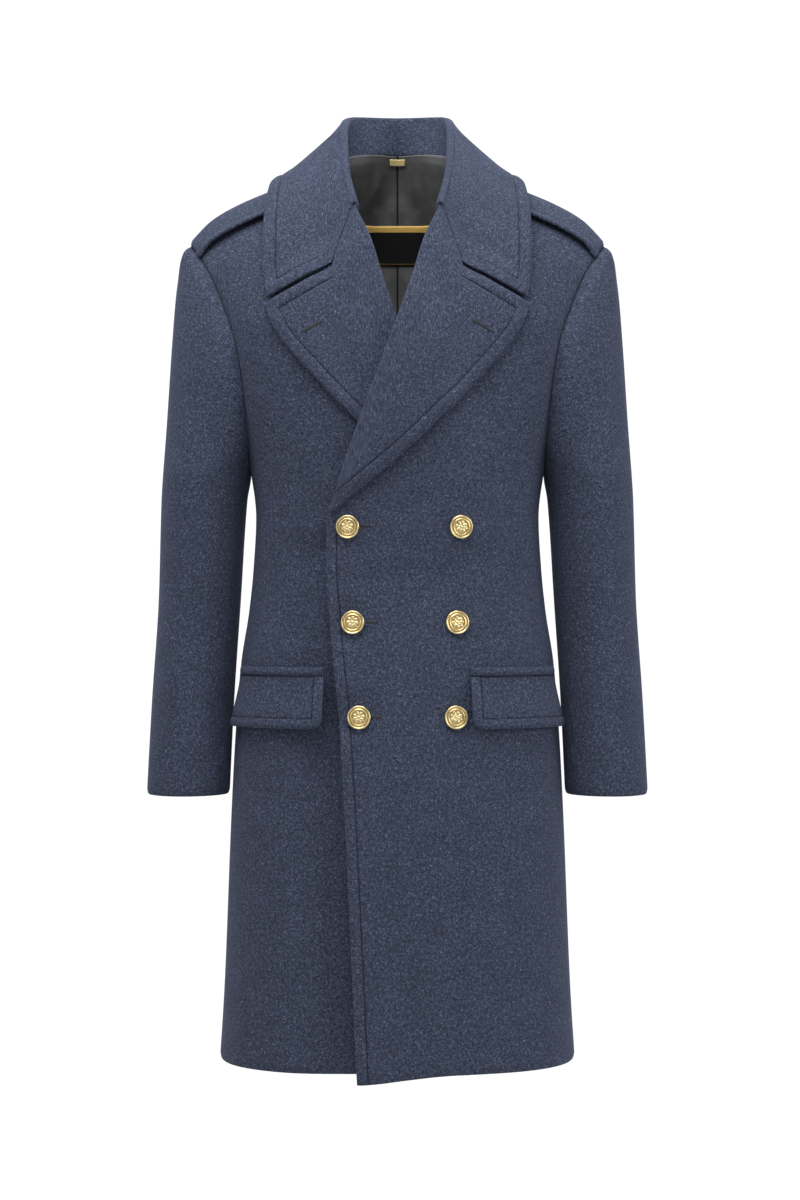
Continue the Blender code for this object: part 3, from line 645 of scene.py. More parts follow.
def add_node(tree, kind, links, out, colours=(), **settings):
    """Adds a shader node with its links, settings and ramp of colours, and gives one of its outputs."""
    node = tree.nodes.new("ShaderNode" + kind)
    for name, value in settings.items():
        setattr(node, name, value)
    if colours:
        elements = node.color_ramp.elements
        while len(elements) < len(colours):
            elements.new(1.0)
        for element, (place, code) in zip(elements, colours):
            element.position = place
            element.color = linear(code)
    connect(tree, node, links)
    return node.outputs[out]


def new_material(name, **constants):
    """A Principled material with the values that are the same all over its surface, a way to add
    nodes to it and a way to lead them into its shader."""
    material = bpy.data.materials.new(name)
    material.use_nodes = True
    tree = material.node_tree
    into_shader = partial(connect, tree, tree.nodes["Principled BSDF"])
    into_shader({socket.replace("_", " "): value for socket, value in constants.items()})
    return material, partial(add_node, tree), into_shader


# Melton: woven wool, fulled and brushed until the weave is hidden under short matted fibres of
# blue-grey with lighter and darker hairs. The hairs are drawn several times their real width,
# because a true hair is far too fine to show in the render.
FIBRE_WIDTH = 0.0013
FIBRE_LENGTH = 0.0046
FIBRE_TURNS = (35, 95, 152)
FUZZ = 0.0009
FUZZ_SHARE = 0.30
MOTTLE = 0.030
MOTTLE_SHARE = 0.07
WOOL_COLOURS = ((0.565, "#151924"), (0.715, "#2c3242"), (0.835, "#454c60"), (0.95, "#787f95"))
# Painted shade: how dark the wool's colour gets in the grooves of topstitching and seams
PAINTED_GROOVE_SHADE = 0.30
NAP_HEIGHT = 0.0006


def make_wool():
    material, add, into_shader = new_material(
        "melton_wool", Roughness=0.93, Sheen_Weight=0.22, Sheen_Roughness=0.45,
        Sheen_Tint=linear("#8d97b4"), Specular_IOR_Level=0.18,
    )
    flat = add("UVMap", {}, "UV", uv_map="UVMap")
    fibres = 0.0
    for turn in FIBRE_TURNS:
        turned = add("Mapping", {"Vector": flat, "Rotation": (0, 0, math.radians(turn))}, "Vector")
        drawn = add("Mapping", {"Vector": turned, "Scale": (1 / FIBRE_LENGTH, 1 / FIBRE_WIDTH, 1)}, "Vector")
        noise = add("TexNoise", {"Vector": drawn, "Scale": 1.0, "Detail": 2.0, "Roughness": 0.6}, "Fac")
        fibres = add("Math", {0: fibres, 1: noise}, 0, operation="MAXIMUM")
    fuzz = add("TexNoise", {"Vector": flat, "Scale": 1 / FUZZ, "Detail": 3.0, "Roughness": 0.65}, "Fac")
    mottle = add("TexNoise", {"Vector": flat, "Scale": 1 / MOTTLE, "Detail": 3.0, "Roughness": 0.6}, "Fac")
    mixed = add("Math", {0: fuzz, 1: FUZZ_SHARE, 2: fibres}, 0, operation="MULTIPLY_ADD")
    mixed = add("Math", {0: mottle, 1: MOTTLE_SHARE, 2: mixed}, 0, operation="MULTIPLY_ADD")
    heather = add("ValToRGB", {"Fac": mixed}, "Color", WOOL_COLOURS)
    # Painted shade: the colour darkens towards each line of topstitching and each seam, standing in for the
    # shade in their grooves.
    offset = add("Attribute", {}, "Fac", attribute_name="stitch_offset")
    away = add("Math", {0: offset}, 0, operation="ABSOLUTE")
    clear = add("MapRange", {"Value": away, "From Min": 0.0, "From Max": STITCH_GROOVE_WIDTH}, "Result",
                interpolation_type="SMOOTHSTEP")
    shade = add("MapRange", {"Value": clear, "To Min": PAINTED_GROOVE_SHADE, "To Max": 1.0}, "Result")
    colour = add("Mix", {"Factor": 1.0, COLOUR_A: heather, COLOUR_B: shade}, MIXED,
                 data_type="RGBA", blend_type="MULTIPLY")
    groove = add("Bump", {"Height": clear, "Strength": 0.8, "Distance": STITCH_GROOVE}, "Normal")
    nap = add("Bump", {"Height": mixed, "Strength": 0.55, "Distance": NAP_HEIGHT, "Normal": groove}, "Normal")
    into_shader({"Base Color": colour, "Normal": nap})
    return material


# Lining: dense viscose satin in charcoal. Its long floats shine along the weft, and a dark line of painted
# shade marks the groove of the centre seam. The twill is drawn about three times as coarse as a real one, so
# that it shows.
TWILL_STEP = 0.0011
TWILL_SHARE = 0.25
THREAD_HEIGHT = 0.0002
CLOUD = 0.025
LINING_COLOURS = ((0.30, "#454547"), (0.60, "#58585a"), (0.90, "#707072"))
CENTRE_SEAM_SHADE_BAND = (0.0004, 0.0018)
CENTRE_SHADE = 0.12


def make_lining():
    material, add, into_shader = new_material(
        "satin_lining", Roughness=0.36, Sheen_Weight=0.08, Anisotropic=0.35, Specular_IOR_Level=0.45,
    )
    flat = add("UVMap", {}, "UV", uv_map="UVMap")
    floats = add("TexWave", {
        "Vector": flat, "Scale": 1 / TWILL_STEP / 2, "Distortion": 1.5, "Detail": 2.0, "Detail Scale": 1.4,
    }, "Fac", bands_direction="DIAGONAL")
    cloud = add("TexNoise", {"Vector": flat, "Scale": 1 / CLOUD, "Detail": 3.0, "Roughness": 0.55}, "Fac")
    mixed = add("Math", {0: floats, 1: TWILL_SHARE, 2: cloud}, 0, operation="MULTIPLY_ADD")
    charcoal = add("ValToRGB", {"Fac": mixed}, "Color", LINING_COLOURS)
    # Painted shade: the satin darkens along the centre seam, for the shade in its groove
    across = add("SeparateXYZ", {0: add("TexCoord", {}, "Object")}, "X")
    away = add("Math", {0: across}, 0, operation="ABSOLUTE")
    shade = add("MapRange", {
        "Value": away, "From Min": CENTRE_SEAM_SHADE_BAND[0], "From Max": CENTRE_SEAM_SHADE_BAND[1],
        "To Min": CENTRE_SHADE, "To Max": 1.0,
    }, "Result", interpolation_type="SMOOTHSTEP")
    colour = add("Mix", {"Factor": 1.0, COLOUR_A: charcoal, COLOUR_B: shade}, MIXED,
                 data_type="RGBA", blend_type="MULTIPLY")
    bump = add("Bump", {"Height": floats, "Strength": 0.15, "Distance": THREAD_HEIGHT}, "Normal")
    into_shader({"Base Color": colour, "Normal": bump})
    return material


# Neck label: black damask ribbon with a gold border woven along its top and a fine gold line below.
# Its ribs, and those of the tab's tape, are drawn about twice as coarse as real ones, so that they show.
RIBBON_RIB = 0.0009
LABEL_TOP = -0.046
LABEL_BOTTOM = -0.092
LABEL_BAND = 0.0064
LABEL_LINE = (0.0012, 0.0024)


def make_label():
    material, add, into_shader = new_material("damask_ribbon", Roughness=0.5, Specular_IOR_Level=0.35)
    flat = add("UVMap", {}, "UV", uv_map="UVMap")
    up = add("SeparateXYZ", {0: flat}, "Y")
    band = add("Math", {0: up, 1: LABEL_TOP - LABEL_BOTTOM - LABEL_BAND}, 0, operation="GREATER_THAN")
    above = add("Math", {0: up, 1: LABEL_LINE[0]}, 0, operation="GREATER_THAN")
    below = add("Math", {0: up, 1: LABEL_LINE[1]}, 0, operation="LESS_THAN")
    line = add("Math", {0: above, 1: below}, 0, operation="MULTIPLY")
    ribs = add("TexWave", {
        "Vector": flat, "Scale": 1 / RIBBON_RIB / 2, "Distortion": 0.6, "Detail": 1.0,
    }, "Fac", bands_direction="X")
    ground = add("ValToRGB", {"Fac": ribs}, "Color", ((0.0, "#0b0b0d"), (1.0, "#1b1b1e")))
    gold = add("ValToRGB", {"Fac": ribs}, "Color", ((0.0, "#cf9f4a"), (1.0, "#efca78")))
    fine_gold = linear("#8d7038")
    lined = add("Mix", {"Factor": line, COLOUR_A: ground, COLOUR_B: fine_gold}, MIXED, data_type="RGBA")
    colour = add("Mix", {"Factor": band, COLOUR_A: lined, COLOUR_B: gold}, MIXED, data_type="RGBA")
    bump = add("Bump", {"Height": ribs, "Strength": 0.25, "Distance": THREAD_HEIGHT}, "Normal")
    into_shader({"Base Color": colour, "Normal": bump})
    return material


# Neck tab: a short loop of cream-gold grosgrain tape, matt with fine ribs.


def make_tab():
    material, add, into_shader = new_material("grosgrain_tape", Roughness=0.6)
    flat = add("UVMap", {}, "UV", uv_map="UVMap")
    ribs = add("TexWave", {
        "Vector": flat, "Scale": 1 / RIBBON_RIB / 2, "Distortion": 0.4, "Detail": 1.0,
    }, "Fac", bands_direction="X")
    colour = add("ValToRGB", {"Fac": ribs}, "Color", ((0.0, "#dcbf78"), (1.0, "#f6e4ae")))
    bump = add("Bump", {"Height": ribs, "Strength": 0.3, "Distance": THREAD_HEIGHT}, "Normal")
    into_shader({"Base Color": colour, "Normal": bump})
    return material


# Buttons: die-struck brass, gilt and lightly antiqued, so the hollows keep a darker, duller tone.
TARNISH = 0.0022
TARNISH_SHARE = 0.35
BRASS_COLOURS = ((0.10, "#f3e0ac"), (0.45, "#e2c688"), (1.0, "#7c6132"))
BRASS_ROUGHNESS = (0.24, 0.46)


def make_brass():
    material, add, into_shader = new_material("struck_gilt_brass", Metallic=1.0)
    place = add("TexCoord", {}, "Object")
    cloud = add("TexNoise", {"Vector": place, "Scale": 1 / TARNISH, "Detail": 3.0, "Roughness": 0.6}, "Fac")
    hollow = add("Attribute", {}, "Fac", attribute_name="hollow")
    mixed = add("Math", {0: cloud, 1: TARNISH_SHARE, 2: hollow}, 0, operation="MULTIPLY_ADD")
    colour = add("ValToRGB", {"Fac": mixed}, "Color", BRASS_COLOURS)
    shiny, dull = BRASS_ROUGHNESS
    rough = add("MapRange", {"Value": mixed, "To Min": shiny, "To Max": dull}, "Result")
    into_shader({"Base Color": colour, "Roughness": rough})
    return material


# Sewing thread: corespun polyester with a low shine, a shade darker than the wool so that the lines
# read. Its twist is drawn about twice as long as a real one, so that it shows.
TWIST = 0.0012


def make_clouded(name, scale, detail, colours, **constants):
    """A material whose colour wavers a little all over."""
    material, add, into_shader = new_material(name, **constants)
    place = add("TexCoord", {}, "Object")
    cloud = add("TexNoise", {"Vector": place, "Scale": scale, "Detail": detail}, "Fac")
    into_shader({"Base Color": add("ValToRGB", {"Fac": cloud}, "Color", colours)})
    return material


def make_thread(name, dark, light):
    colours = ((0.35, dark), (0.65, light))
    return make_clouded(name, 1 / TWIST, 1.0, colours, Roughness=0.6, Sheen_Weight=0.15), "wool"


# Panels of wool: rounded edges, turn-ups, the lift of the overlap and the fall of the front under it

SEAM_ROUND = WOOL / 2
ARMHOLE_ROUND = 0.0
FACING_EXTRA = 0.0007
TURN_UP = 0.040
TURN_UP_EASE = 0.003
HEM_ROLL = 0.0075
HEM_ROLL_DEPTH = 0.0030
FRONT_EDGE_LIFT = 0.0055
SKIRT_EDGE_LIFT = 0.0045
FRONT_EDGE_REACH = 0.055
FRONT_EDGE_EASE = 0.060
BUTTON_HOLD = (0.0145, 0.034)
UNDER_FALL = 0.0120
UNDER_FALL_HIGH = 0.45
UNDER_FALL_REACH = 0.085
UNDER_FALL_EASE = 0.030
STITCH_FADE = 0.012
STITCH_END = 0.010
SLEEVE_HEAD = 0.0026
HEAD_RISE = 0.010
HEAD_FADE = 0.050
LOWEST_BUTTON = BUTTONS.rows[-1, 1]


def turned_up(grid):
    """Thickness of a panel with its lower edge turned up inside."""
    return WOOL + FACING_EXTRA * fade(lengths_along(grid), TURN_UP - TURN_UP_EASE, TURN_UP)


def rolled_in(grid, facing):
    """A panel whose turned-up lower edge curls in softly."""
    way = np.clip(1 - lengths_along(grid) / HEM_ROLL, 0.0, 1.0)
    return raised(grid, facing, HEM_ROLL_DEPTH * (np.sqrt(1 - way**2) - 1))


def panel_rounds(grid):
    """Roundness of a panel's edges: sewn seams, and the armhole above the underarm."""
    outer = np.where(grid[:, -1:, 2] < UNDERARM, SEAM_ROUND, ARMHOLE_ROUND)
    return SEAM_ROUND, SEAM_ROUND, SEAM_ROUND, outer


def front_lift(face):
    """How far the overlapping front stands off towards its edge, where no button holds it flat."""
    x, z = face[..., 0], face[..., 2]
    rise = FRONT_EDGE_LIFT + SKIRT_EDGE_LIFT * fade(z, HEM, LOWEST_BUTTON)
    standing = fade(z, BREAK - FRONT_EDGE_EASE, BREAK)
    places = [(across, height) for _, height, *pair in BUTTONS.rows for across in pair]
    near = np.min([np.hypot(x - across, z - height) for across, height in places], axis=0)
    return standing * lifted(lengths_across(face), rise, FRONT_EDGE_REACH) * ease(near, *BUTTON_HOLD)


def under_fall(face):
    """How far the front that lies under falls back beside the edge of the one over it."""
    x, z = face[..., 0], face[..., 2]
    beside = FRONT_EDGE.at(z, "across") - x
    fall = 1 - (1 - UNDER_FALL_HIGH) * ease(z, LOWEST_BUTTON, BREAK)
    fall = fall * fade(z, BREAK - UNDER_FALL_EASE, BREAK)
    return fall * lifted(beside, UNDER_FALL, UNDER_FALL_REACH)


def make_fronts(wool):
    inset = STITCH_INSET["front"]
    for side, place in SIDES:
        flat = front_panel(side)
        facing = normals_of(flat)
        face = rolled_in(flat, facing)
        columns = lengths_across(face)
        below = fade(face[:, :1, 2], BREAK - STITCH_FADE, BREAK)
        distance = np.where(below > 0.5, columns - inset, FAR_FROM_STITCH)
        relief = stitched(columns, inset) * below
        if side == "left":
            face = raised(face, facing, front_lift(face))
        face, facing = place(face), place(facing)
        if side == "right":
            face = raised(face, facing, -under_fall(face))
        front = cloth_piece(
            f"wool_front_{side}", [f"front_{side}"], wool, face, facing, turned_up(face),
            panel_rounds(face), relief, distance, (LAST_ROW, LAST_COLUMN),
        )
        if side == "left":
            sew(columns, inset, front, facing, True, face[:, 0, 2] < BREAK - STITCH_END)


def back_facing():
    """The way half the back faces, square to the centre seam along it."""
    facing = -normals_of(back_panel())
    facing[:, 0, 0] = 0.0
    return unit(facing)


def make_backs(wool):
    facing = back_facing()
    face = rolled_in(back_panel(), facing)
    cloth_pair("wool_back", ["back"], wool, face, facing, turned_up(face), panel_rounds(face),
               seams=(LAST_ROW, FIRST_COLUMN, LAST_COLUMN))


def make_sleeves(wool):
    top, under = sleeve_top(), sleeve_under()
    meets = seam_meets_armhole()
    height = top[:, :1, 2]
    seam = np.where(height < meets, SEAM_ROUND, ARMHOLE_ROUND)
    ways = edge_ways(top)
    way = np.minimum.reduce([ways[LAST_ROW], ways[FIRST_COLUMN], ways[LAST_COLUMN]])
    head = ease(way, 0.0, HEAD_RISE) * fade(way, HEAD_RISE, HEAD_FADE) * ease(height, UNDERARM, meets)
    parts = (
        ("top", top, seam, SLEEVE_HEAD * head, [f"sleeve_top_{length}" for length in SLEEVE_LENGTHS]),
        ("under", under, SEAM_ROUND, 0.0, ["sleeve_under"]),
    )
    for part, flat, edge_round, relief, nodes in parts:
        facing = normals_of(flat)
        face = rolled_in(flat, facing)
        rounds = (SEAM_ROUND, ARMHOLE_ROUND, edge_round, edge_round)
        cloth_pair(f"wool_sleeve_{part}", nodes, wool, face, facing, turned_up(face), rounds, relief,
                   seams=(LAST_ROW, FIRST_COLUMN, LAST_COLUMN))


# Lapels

# The lapel from its top (0) to the break (1): roll line and outer edge, seen from the front
LAPEL = Table("along roll_x roll_z edge_x edge_z", [
    (0.00, 0.0430, -0.0555, 0.1470, -0.1615), (0.12, 0.0290, -0.0960, 0.1310, -0.1945),
    (0.30, 0.0080, -0.1550, 0.0895, -0.2445), (0.50, -0.0165, -0.2220, 0.0435, -0.2925),
    (0.70, -0.0408, -0.2870, -0.0010, -0.3340), (0.87, -0.0605, -0.3450, -0.0395, -0.3662),
    (1.00, -0.0755, -0.3930, -0.0695, -0.3920),
])
LAPEL_NOTCH = (0.40, -0.0148, -0.0211, 0.35)
LAPEL_BELLY = {"left": 0.0045, "right": 0.0}
LAPEL_EDGE_LIFT = 0.0030
LAPEL_EDGE_REACH = 0.045
LOOSE_WIDTH = 3
NOTCH_CLEAR = 0.02

# The gorge is the sewn part of the lapel's top, from the roll to the notch: how far it moves up to
# the collar's end, and over which shares of the notch and of the lapel its moves fade
GORGE = Table("share shift", [
    (0.00, 0.0036), (0.11, 0.0046), (0.22, 0.0034), (0.33, 0.0023), (0.44, 0.0015), (0.56, 0.0009),
    (0.67, 0.0007), (0.78, 0.0012), (0.89, 0.0015), (1.00, 0.0008),
])
GORGE_WAY = (0.91, 0.41)
GORGE_FADE = (1.25, 0.12)
GORGE_TUCK = (0.0028, 0.0012)
GORGE_TUCK_FADE = (0.6, 0.16)
ROLL_SHIFT = (-0.0030, 0.0050)
ROLL_SHIFT_FADE = (0.5, 0.30)
GORGE_HOLD = (0.002, 0.030)
GORGE_ROUND = 0.0006
GORGE_ENDS = (0.9, 1.1)
# Painted shade along the gorge seam: a band widened by one over this share, as far as this share of the way
# to the notch
GORGE_SHADE_SHARE = 0.4
GORGE_SHADE_END = 1.02

# Turning of the stitches round a corner: their band in insets, and the columns left to the edge's row
STITCH_BAND = 1.6
CORNER_COLUMNS = 8
CORNER_ROWS = 6


def beside_edge(face, distance, ends):
    """Distances from a free edge, without the part of the cloth that lies beyond the edge's ends."""
    return np.where(nearest(face, ends) <= distance + WELD, FAR_FROM_STITCH, distance)


def lapel_grid(side):
    """Face of a lapel, the way it faces, its distance from the free edge, how loose it lies, and
    where it stands off its front."""
    depth = partial(front_depth, side=side)
    first, last = LAPEL.rows[0], LAPEL.rows[-1]
    along = spread_shares(np.hypot(*(last - first)[1:3]), FINE_GRID_STEP)[:, None]
    across = spread_shares(np.hypot(*(first[3:] - first[1:3])), FINE_GRID_STEP, PLAIN_END)[None, :]
    peak, notch_x, notch_z, reach = LAPEL_NOTCH
    notch = tent(across, peak) * np.clip(1 - along / reach, 0, 1) ** 2
    sewn = fade(across, GORGE_TUCK_FADE[0] * peak, peak) * fade(along, 0.0, GORGE_TUCK_FADE[1])
    rolled = fade(across, 0.0, ROLL_SHIFT_FADE[0] * peak) * fade(along, 0.0, ROLL_SHIFT_FADE[1])
    joined = fade(across, peak, GORGE_FADE[0] * peak) * fade(along, 0.0, GORGE_FADE[1])
    joined = GORGE.at(across / peak, "shift") * joined
    x, z = (
        LAPEL.at(along, f"roll_{axis}") * (1 - across) + LAPEL.at(along, f"edge_{axis}") * across
        + notch * bend + sewn * tuck + rolled * shift + joined * way
        for axis, bend, tuck, shift, way in zip(
            "xz", (notch_x, notch_z), GORGE_TUCK, ROLL_SHIFT, GORGE_WAY)
    )
    belly = LAPEL_BELLY[side] * np.sin(math.pi * across) * np.sqrt(np.abs(np.sin(math.pi * along)))
    lift = LAPEL_GAP + LAPEL_CLOTH + belly
    facing = outward(x, z, depth)
    flat = on_surface(x, z, depth)
    face = raised(flat, facing, lift)
    free = int(face.shape[1] * (peak + NOTCH_CLEAR))
    distance = nearest(face, np.concatenate([face[0, free:], face[1:, -1]]))
    inset = STITCH_INSET["lapel"]
    loose = ease(lengths_across(face)[:, -1:], inset, LOOSE_WIDTH * inset)
    loose = loose * ease(nearest(face, face[0, :free]), *GORGE_HOLD)
    lift = lift + loose * lifted(distance, LAPEL_EDGE_LIFT, LAPEL_EDGE_REACH)
    distance = beside_edge(face, distance, face[0, free:free + 1])
    return raised(flat, facing, lift), facing, distance, loose, (x, z, lift)


def make_lapels(wool):
    inset = STITCH_INSET["lapel"]
    for side, place in SIDES:
        face, facing, distance, loose, _ = lapel_grid(side)
        face, facing = place(face), place(facing)
        share = np.linspace(0, 1, face.shape[1])[None, :] / LAPEL_NOTCH[0]
        top_round = GORGE_ROUND + (LAPEL_CLOTH / 2 - GORGE_ROUND) * ease(share, *GORGE_ENDS)
        # Painted shade along the gorge seam, where the lapel is sewn to the collar
        seam = np.where(share < GORGE_SHADE_END, GORGE_SHADE_SHARE * lengths_along(face), FAR_FROM_STITCH)
        offset = np.where(seam < np.abs(distance - inset), seam, distance - inset)
        front = cloth_piece(
            f"wool_lapel_{side}", [f"lapel_{side}"], wool, face, facing, LAPEL_CLOTH,
            (top_round, *(LAPEL_CLOTH / 2,) * 3), stitched(distance, inset) * loose, offset,
        )
        sew(distance, inset, front, facing, True)
        top = np.s_[:int(STITCH_BAND * inset / FINE_GRID_STEP), :-CORNER_COLUMNS]
        sew(distance, inset, front, facing, False, top)


# Collar

# The collar from the nape (0) to its front end (1): fold line and outer edge
COLLAR = Table("along roll_x roll_y roll_z edge_x edge_y edge_z", [
    (0.00, 0.0000, 0.0850, 0.0735, 0.0000, 0.1020, -0.0310),
    (0.15, 0.0290, 0.0810, 0.0735, 0.0520, 0.0890, -0.0330),
    (0.30, 0.0500, 0.0660, 0.0715, 0.0940, 0.0690, -0.0335),
    (0.42, 0.0600, 0.0420, 0.0650, 0.1235, 0.0440, -0.0240),
    (0.52, 0.0620, 0.0120, 0.0520, 0.1395, 0.0040, -0.0110),
    (0.64, 0.0610, -0.0210, 0.0270, 0.1465, -0.0350, -0.0340),
    (0.76, 0.0590, -0.0500, -0.0010, 0.1495, -0.0640, -0.0680),
    (0.88, 0.0540, -0.0740, -0.0280, 0.1500, -0.0840, -0.1120),
    (1.00, 0.0475, -0.0920, -0.0490, 0.1435, -0.0940, -0.1540),
])
COLLAR_NOTCH = (0.42, -0.0173, -0.0218, 0.30)
COLLAR_FOLD = 0.0020
COLLAR_STAND_STEPS = 12
COLLAR_FOLD_STEPS = 9
COLLAR_EDGE_LIFT = 0.0028
COLLAR_EDGE_REACH = 0.035
COLLAR_END_COLUMNS = 2
STAND_COLUMN = 4
STAND_TUCK = (0.0018, 0.0010, 0.0)
STAND_TUCK_FROM = (0.95, 1.0)

# Rounding of the collar's edge over the shoulder, and of its fall where it comes to lie on the body
EDGE_SOFT = 0.09
EDGE_SOFT_REACH = 0.24
EDGE_SOFT_POINTS = 9
FALL_SOFT = 0.004
FALL_SOFT_LOSS = 0.85
FALL_SOFT_FADE = (0.80, 1.0)
SHOULDER_EASE = 0.04


def collar_line(along, line):
    """Points of the collar's fold line or outer edge."""
    return np.stack([COLLAR.at(along, f"{line}_{axis}") for axis in "xyz"], axis=-1)


def collar_edge(along):
    """A point of the collar's outer edge, with the turn over the shoulder rounded."""
    about = np.linspace(-1, 1, EDGE_SOFT_POINTS)
    weights = 1 + np.cos(math.pi * about)
    near = collar_line(np.clip(along + EDGE_SOFT * about, 0.0, 1.0), "edge")
    share = fade(abs(along - NECK_POINT), EDGE_SOFT_REACH / 2, EDGE_SOFT_REACH)
    return share * (weights @ near / weights.sum()) + (1 - share) * collar_line(along, "edge")


def soft_least(a, b, soft):
    """The smaller of two values, rounded where they cross."""
    return (a + b - np.sqrt((a - b) ** 2 + soft**2)) / 2


def clear_of_body(points, along):
    """Points held clear of the body's surface, easing onto it."""
    x, y, z = points.T
    share = ease(along, NECK_POINT - SHOULDER_EASE, NECK_POINT + SHOULDER_EASE)
    soft = FALL_SOFT * (1 - FALL_SOFT_LOSS * ease(along, *FALL_SOFT_FADE))
    ahead = soft_least(y, body_depth(x, z, "front") - COLLAR_GAP, soft)
    behind = -soft_least(-y, -body_depth(x, z, "back") - COLLAR_GAP, soft)
    return np.stack([x, share * ahead + (1 - share) * behind, z], axis=-1)


def collar_profile(along, fall_shares):
    """Under side of the collar at one station: up the stand, over the fold and down the fall."""
    side = "back" if along < NECK_POINT else "front"
    x, z = neck_points(along)
    tuck = ease(along, *STAND_TUCK_FROM) * np.array(STAND_TUCK)
    neck = np.array([x, body_depth(x, z, side), z]) + tuck
    fold = collar_line(along, "roll")
    edge = collar_edge(along)
    out = unit((edge - fold) * np.array([1.0, 1.0, 0.0]))
    up = np.array([0.0, 0.0, 1.0])
    angles = np.linspace(0, math.pi, COLLAR_FOLD_STEPS)[:, None]
    rolled = fold + COLLAR_FOLD * (up * np.sin(angles) - out * np.cos(angles))
    rolled = rolled + tuck * (1 + np.cos(angles)) / 2
    stand = neck + (rolled[0] - neck) * np.linspace(0, 1, COLLAR_STAND_STEPS)[:-1, None]
    across = fall_shares[1:, None]
    peak, notch_x, notch_z, reach = COLLAR_NOTCH
    bend = tent(across, peak) * np.clip((along - 1 + reach) / reach, 0, 1) ** 2
    fall = rolled[-1] + (edge - rolled[-1]) * across + bend * np.array([notch_x, 0.0, notch_z])
    return np.concatenate([stand, rolled, clear_of_body(fall, along)])


def make_collar(wool):
    inset = STITCH_INSET["collar"]
    outline = COLLAR.rows[:, 4:]
    reach = np.linalg.norm(outline[-1] - COLLAR.rows[-1, 1:4])
    fall_shares = spread_shares(reach, FINE_GRID_STEP, PLAIN_END)
    stations = spread_shares(lengths_along(outline)[-1], FINE_GRID_STEP, PLAIN_END)
    half = np.array([collar_profile(along, fall_shares) for along in stations])
    under = np.concatenate([mirrored(half[:0:-1]), half])
    facing = normals_of(under)
    facing *= -np.sign(facing[len(stations), STAND_COLUMN, 1])
    face = under + facing * COLLAR_CLOTH
    fall_from = COLLAR_STAND_STEPS - 1 + COLLAR_FOLD_STEPS
    free = fall_from + int(len(fall_shares) * (COLLAR_NOTCH[0] + NOTCH_CLEAR))
    distance = nearest(face, np.concatenate([face[0, free:], face[1:-1, -1], face[-1, free:]]))
    hold = ease(nearest(face, np.concatenate(face[[0, -1], fall_from:free])), *GORGE_HOLD)
    lift = hold * lifted(distance, COLLAR_EDGE_LIFT, COLLAR_EDGE_REACH)
    distance = beside_edge(face, distance, face[[0, -1], free])
    face = raised(face, facing, lift)
    column = np.arange(face.shape[1])[None, :]
    past = ease(column, free - COLLAR_END_COLUMNS, free + COLLAR_END_COLUMNS)
    end_round = GORGE_ROUND + (COLLAR_CLOTH / 2 - GORGE_ROUND) * past
    front = cloth_piece(
        "wool_collar", ["collar"], wool, face, facing, COLLAR_CLOTH,
        (end_round, end_round, COLLAR_CLOTH / 2, COLLAR_CLOTH / 2),
        stitched(distance, inset) * hold, distance - inset,
    )
    half_way = len(front) // 2
    end = int(STITCH_BAND * inset / FINE_GRID_STEP)
    for part in (np.s_[:half_way], np.s_[half_way:]):
        sew(distance, inset, front, facing, True, part)
    for part in (np.s_[:end, free:-CORNER_COLUMNS], np.s_[-end:, free:-CORNER_COLUMNS]):
        sew(distance, inset, front, facing, False, part)


# Shoulder straps

STRAP_INNER = 0.100
STRAP_OUTER = 0.2355
STRAP_FRONT_DROP = 0.033
STRAP_BACK_DROP = 0.010
STRAP_INSET = 0.0006
STRAP_ROWS = 40
STRAP_COLUMNS = 62
STRAP_EDGE_LIFT = 0.0052
STRAP_EDGE_REACH = 0.016
STRAP_CAUGHT = (0.002, 0.026)


def strap_end(drop, side):
    """How far out the strap reaches at a drop below the shoulder line: to the armhole seam."""
    def inside(x):
        return ARMHOLE.at(SHOULDER.at(x, "height") - drop, side) - STRAP_INSET > x

    return last_place(STRAP_INNER, STRAP_OUTER, inside)


def make_straps(wool):
    inset = STITCH_INSET["strap"]
    lines = [(STRAP_FRONT_DROP * share**2, "front") for share in np.linspace(1, 0, STRAP_ROWS)]
    lines += [(STRAP_BACK_DROP * share**2, "back") for share in np.linspace(0, 1, STRAP_ROWS // 2)[1:]]
    under = []
    for drop, side in lines:
        x = np.linspace(STRAP_INNER, strap_end(drop, side), STRAP_COLUMNS)
        under.append(on_surface(x, SHOULDER.at(x, "height") - drop, partial(body_depth, side=side)))
    under = np.array(under)
    shares = spread_shares(lengths_along(under)[-1].mean(), FINE_GRID_STEP)
    under = np.stack([shared_out(line, shares) for line in under.transpose(1, 0, 2)], axis=1)
    facing = normals_of(under)
    facing *= np.sign(facing[..., 2].mean())
    face = under + facing * (STRAP_GAP + TRIM_CLOTH)
    distance = nearest(face, np.concatenate([face[0], face[-1]]))
    caught = ease(edge_ways(face)[LAST_COLUMN], *STRAP_CAUGHT)
    face = raised(face, facing, caught * lifted(distance, STRAP_EDGE_LIFT, STRAP_EDGE_REACH))
    fronts = cloth_pair("wool_strap", ["shoulder_strap"], wool, face, facing, TRIM_CLOTH,
                        relief=stitched(distance, inset), stitch=distance - inset)
    for front, (_, place) in zip(fronts, SIDES):
        sew(distance, inset, front, place(facing), False, np.s_[:len(shares) // 2])


# Pockets

POCKET_INNER = 0.0805
POCKET_OUTER_ANGLE = math.radians(76)
WELT_TOP = -0.565
WELT_BOTTOM = -0.5745
WELT_PUFF = 0.0022
WELT_END = 0.007
FLAP_TOP = -0.5752
FLAP_BOTTOM = -0.633
FLAP_CORNER = 0.011
FLAP_EDGE_LIFT = 0.0062
FLAP_SIDE_LIFT = 0.0026
FLAP_SIDE_REACH = 0.030
FLAP_SIDE_HUNG = 0.55


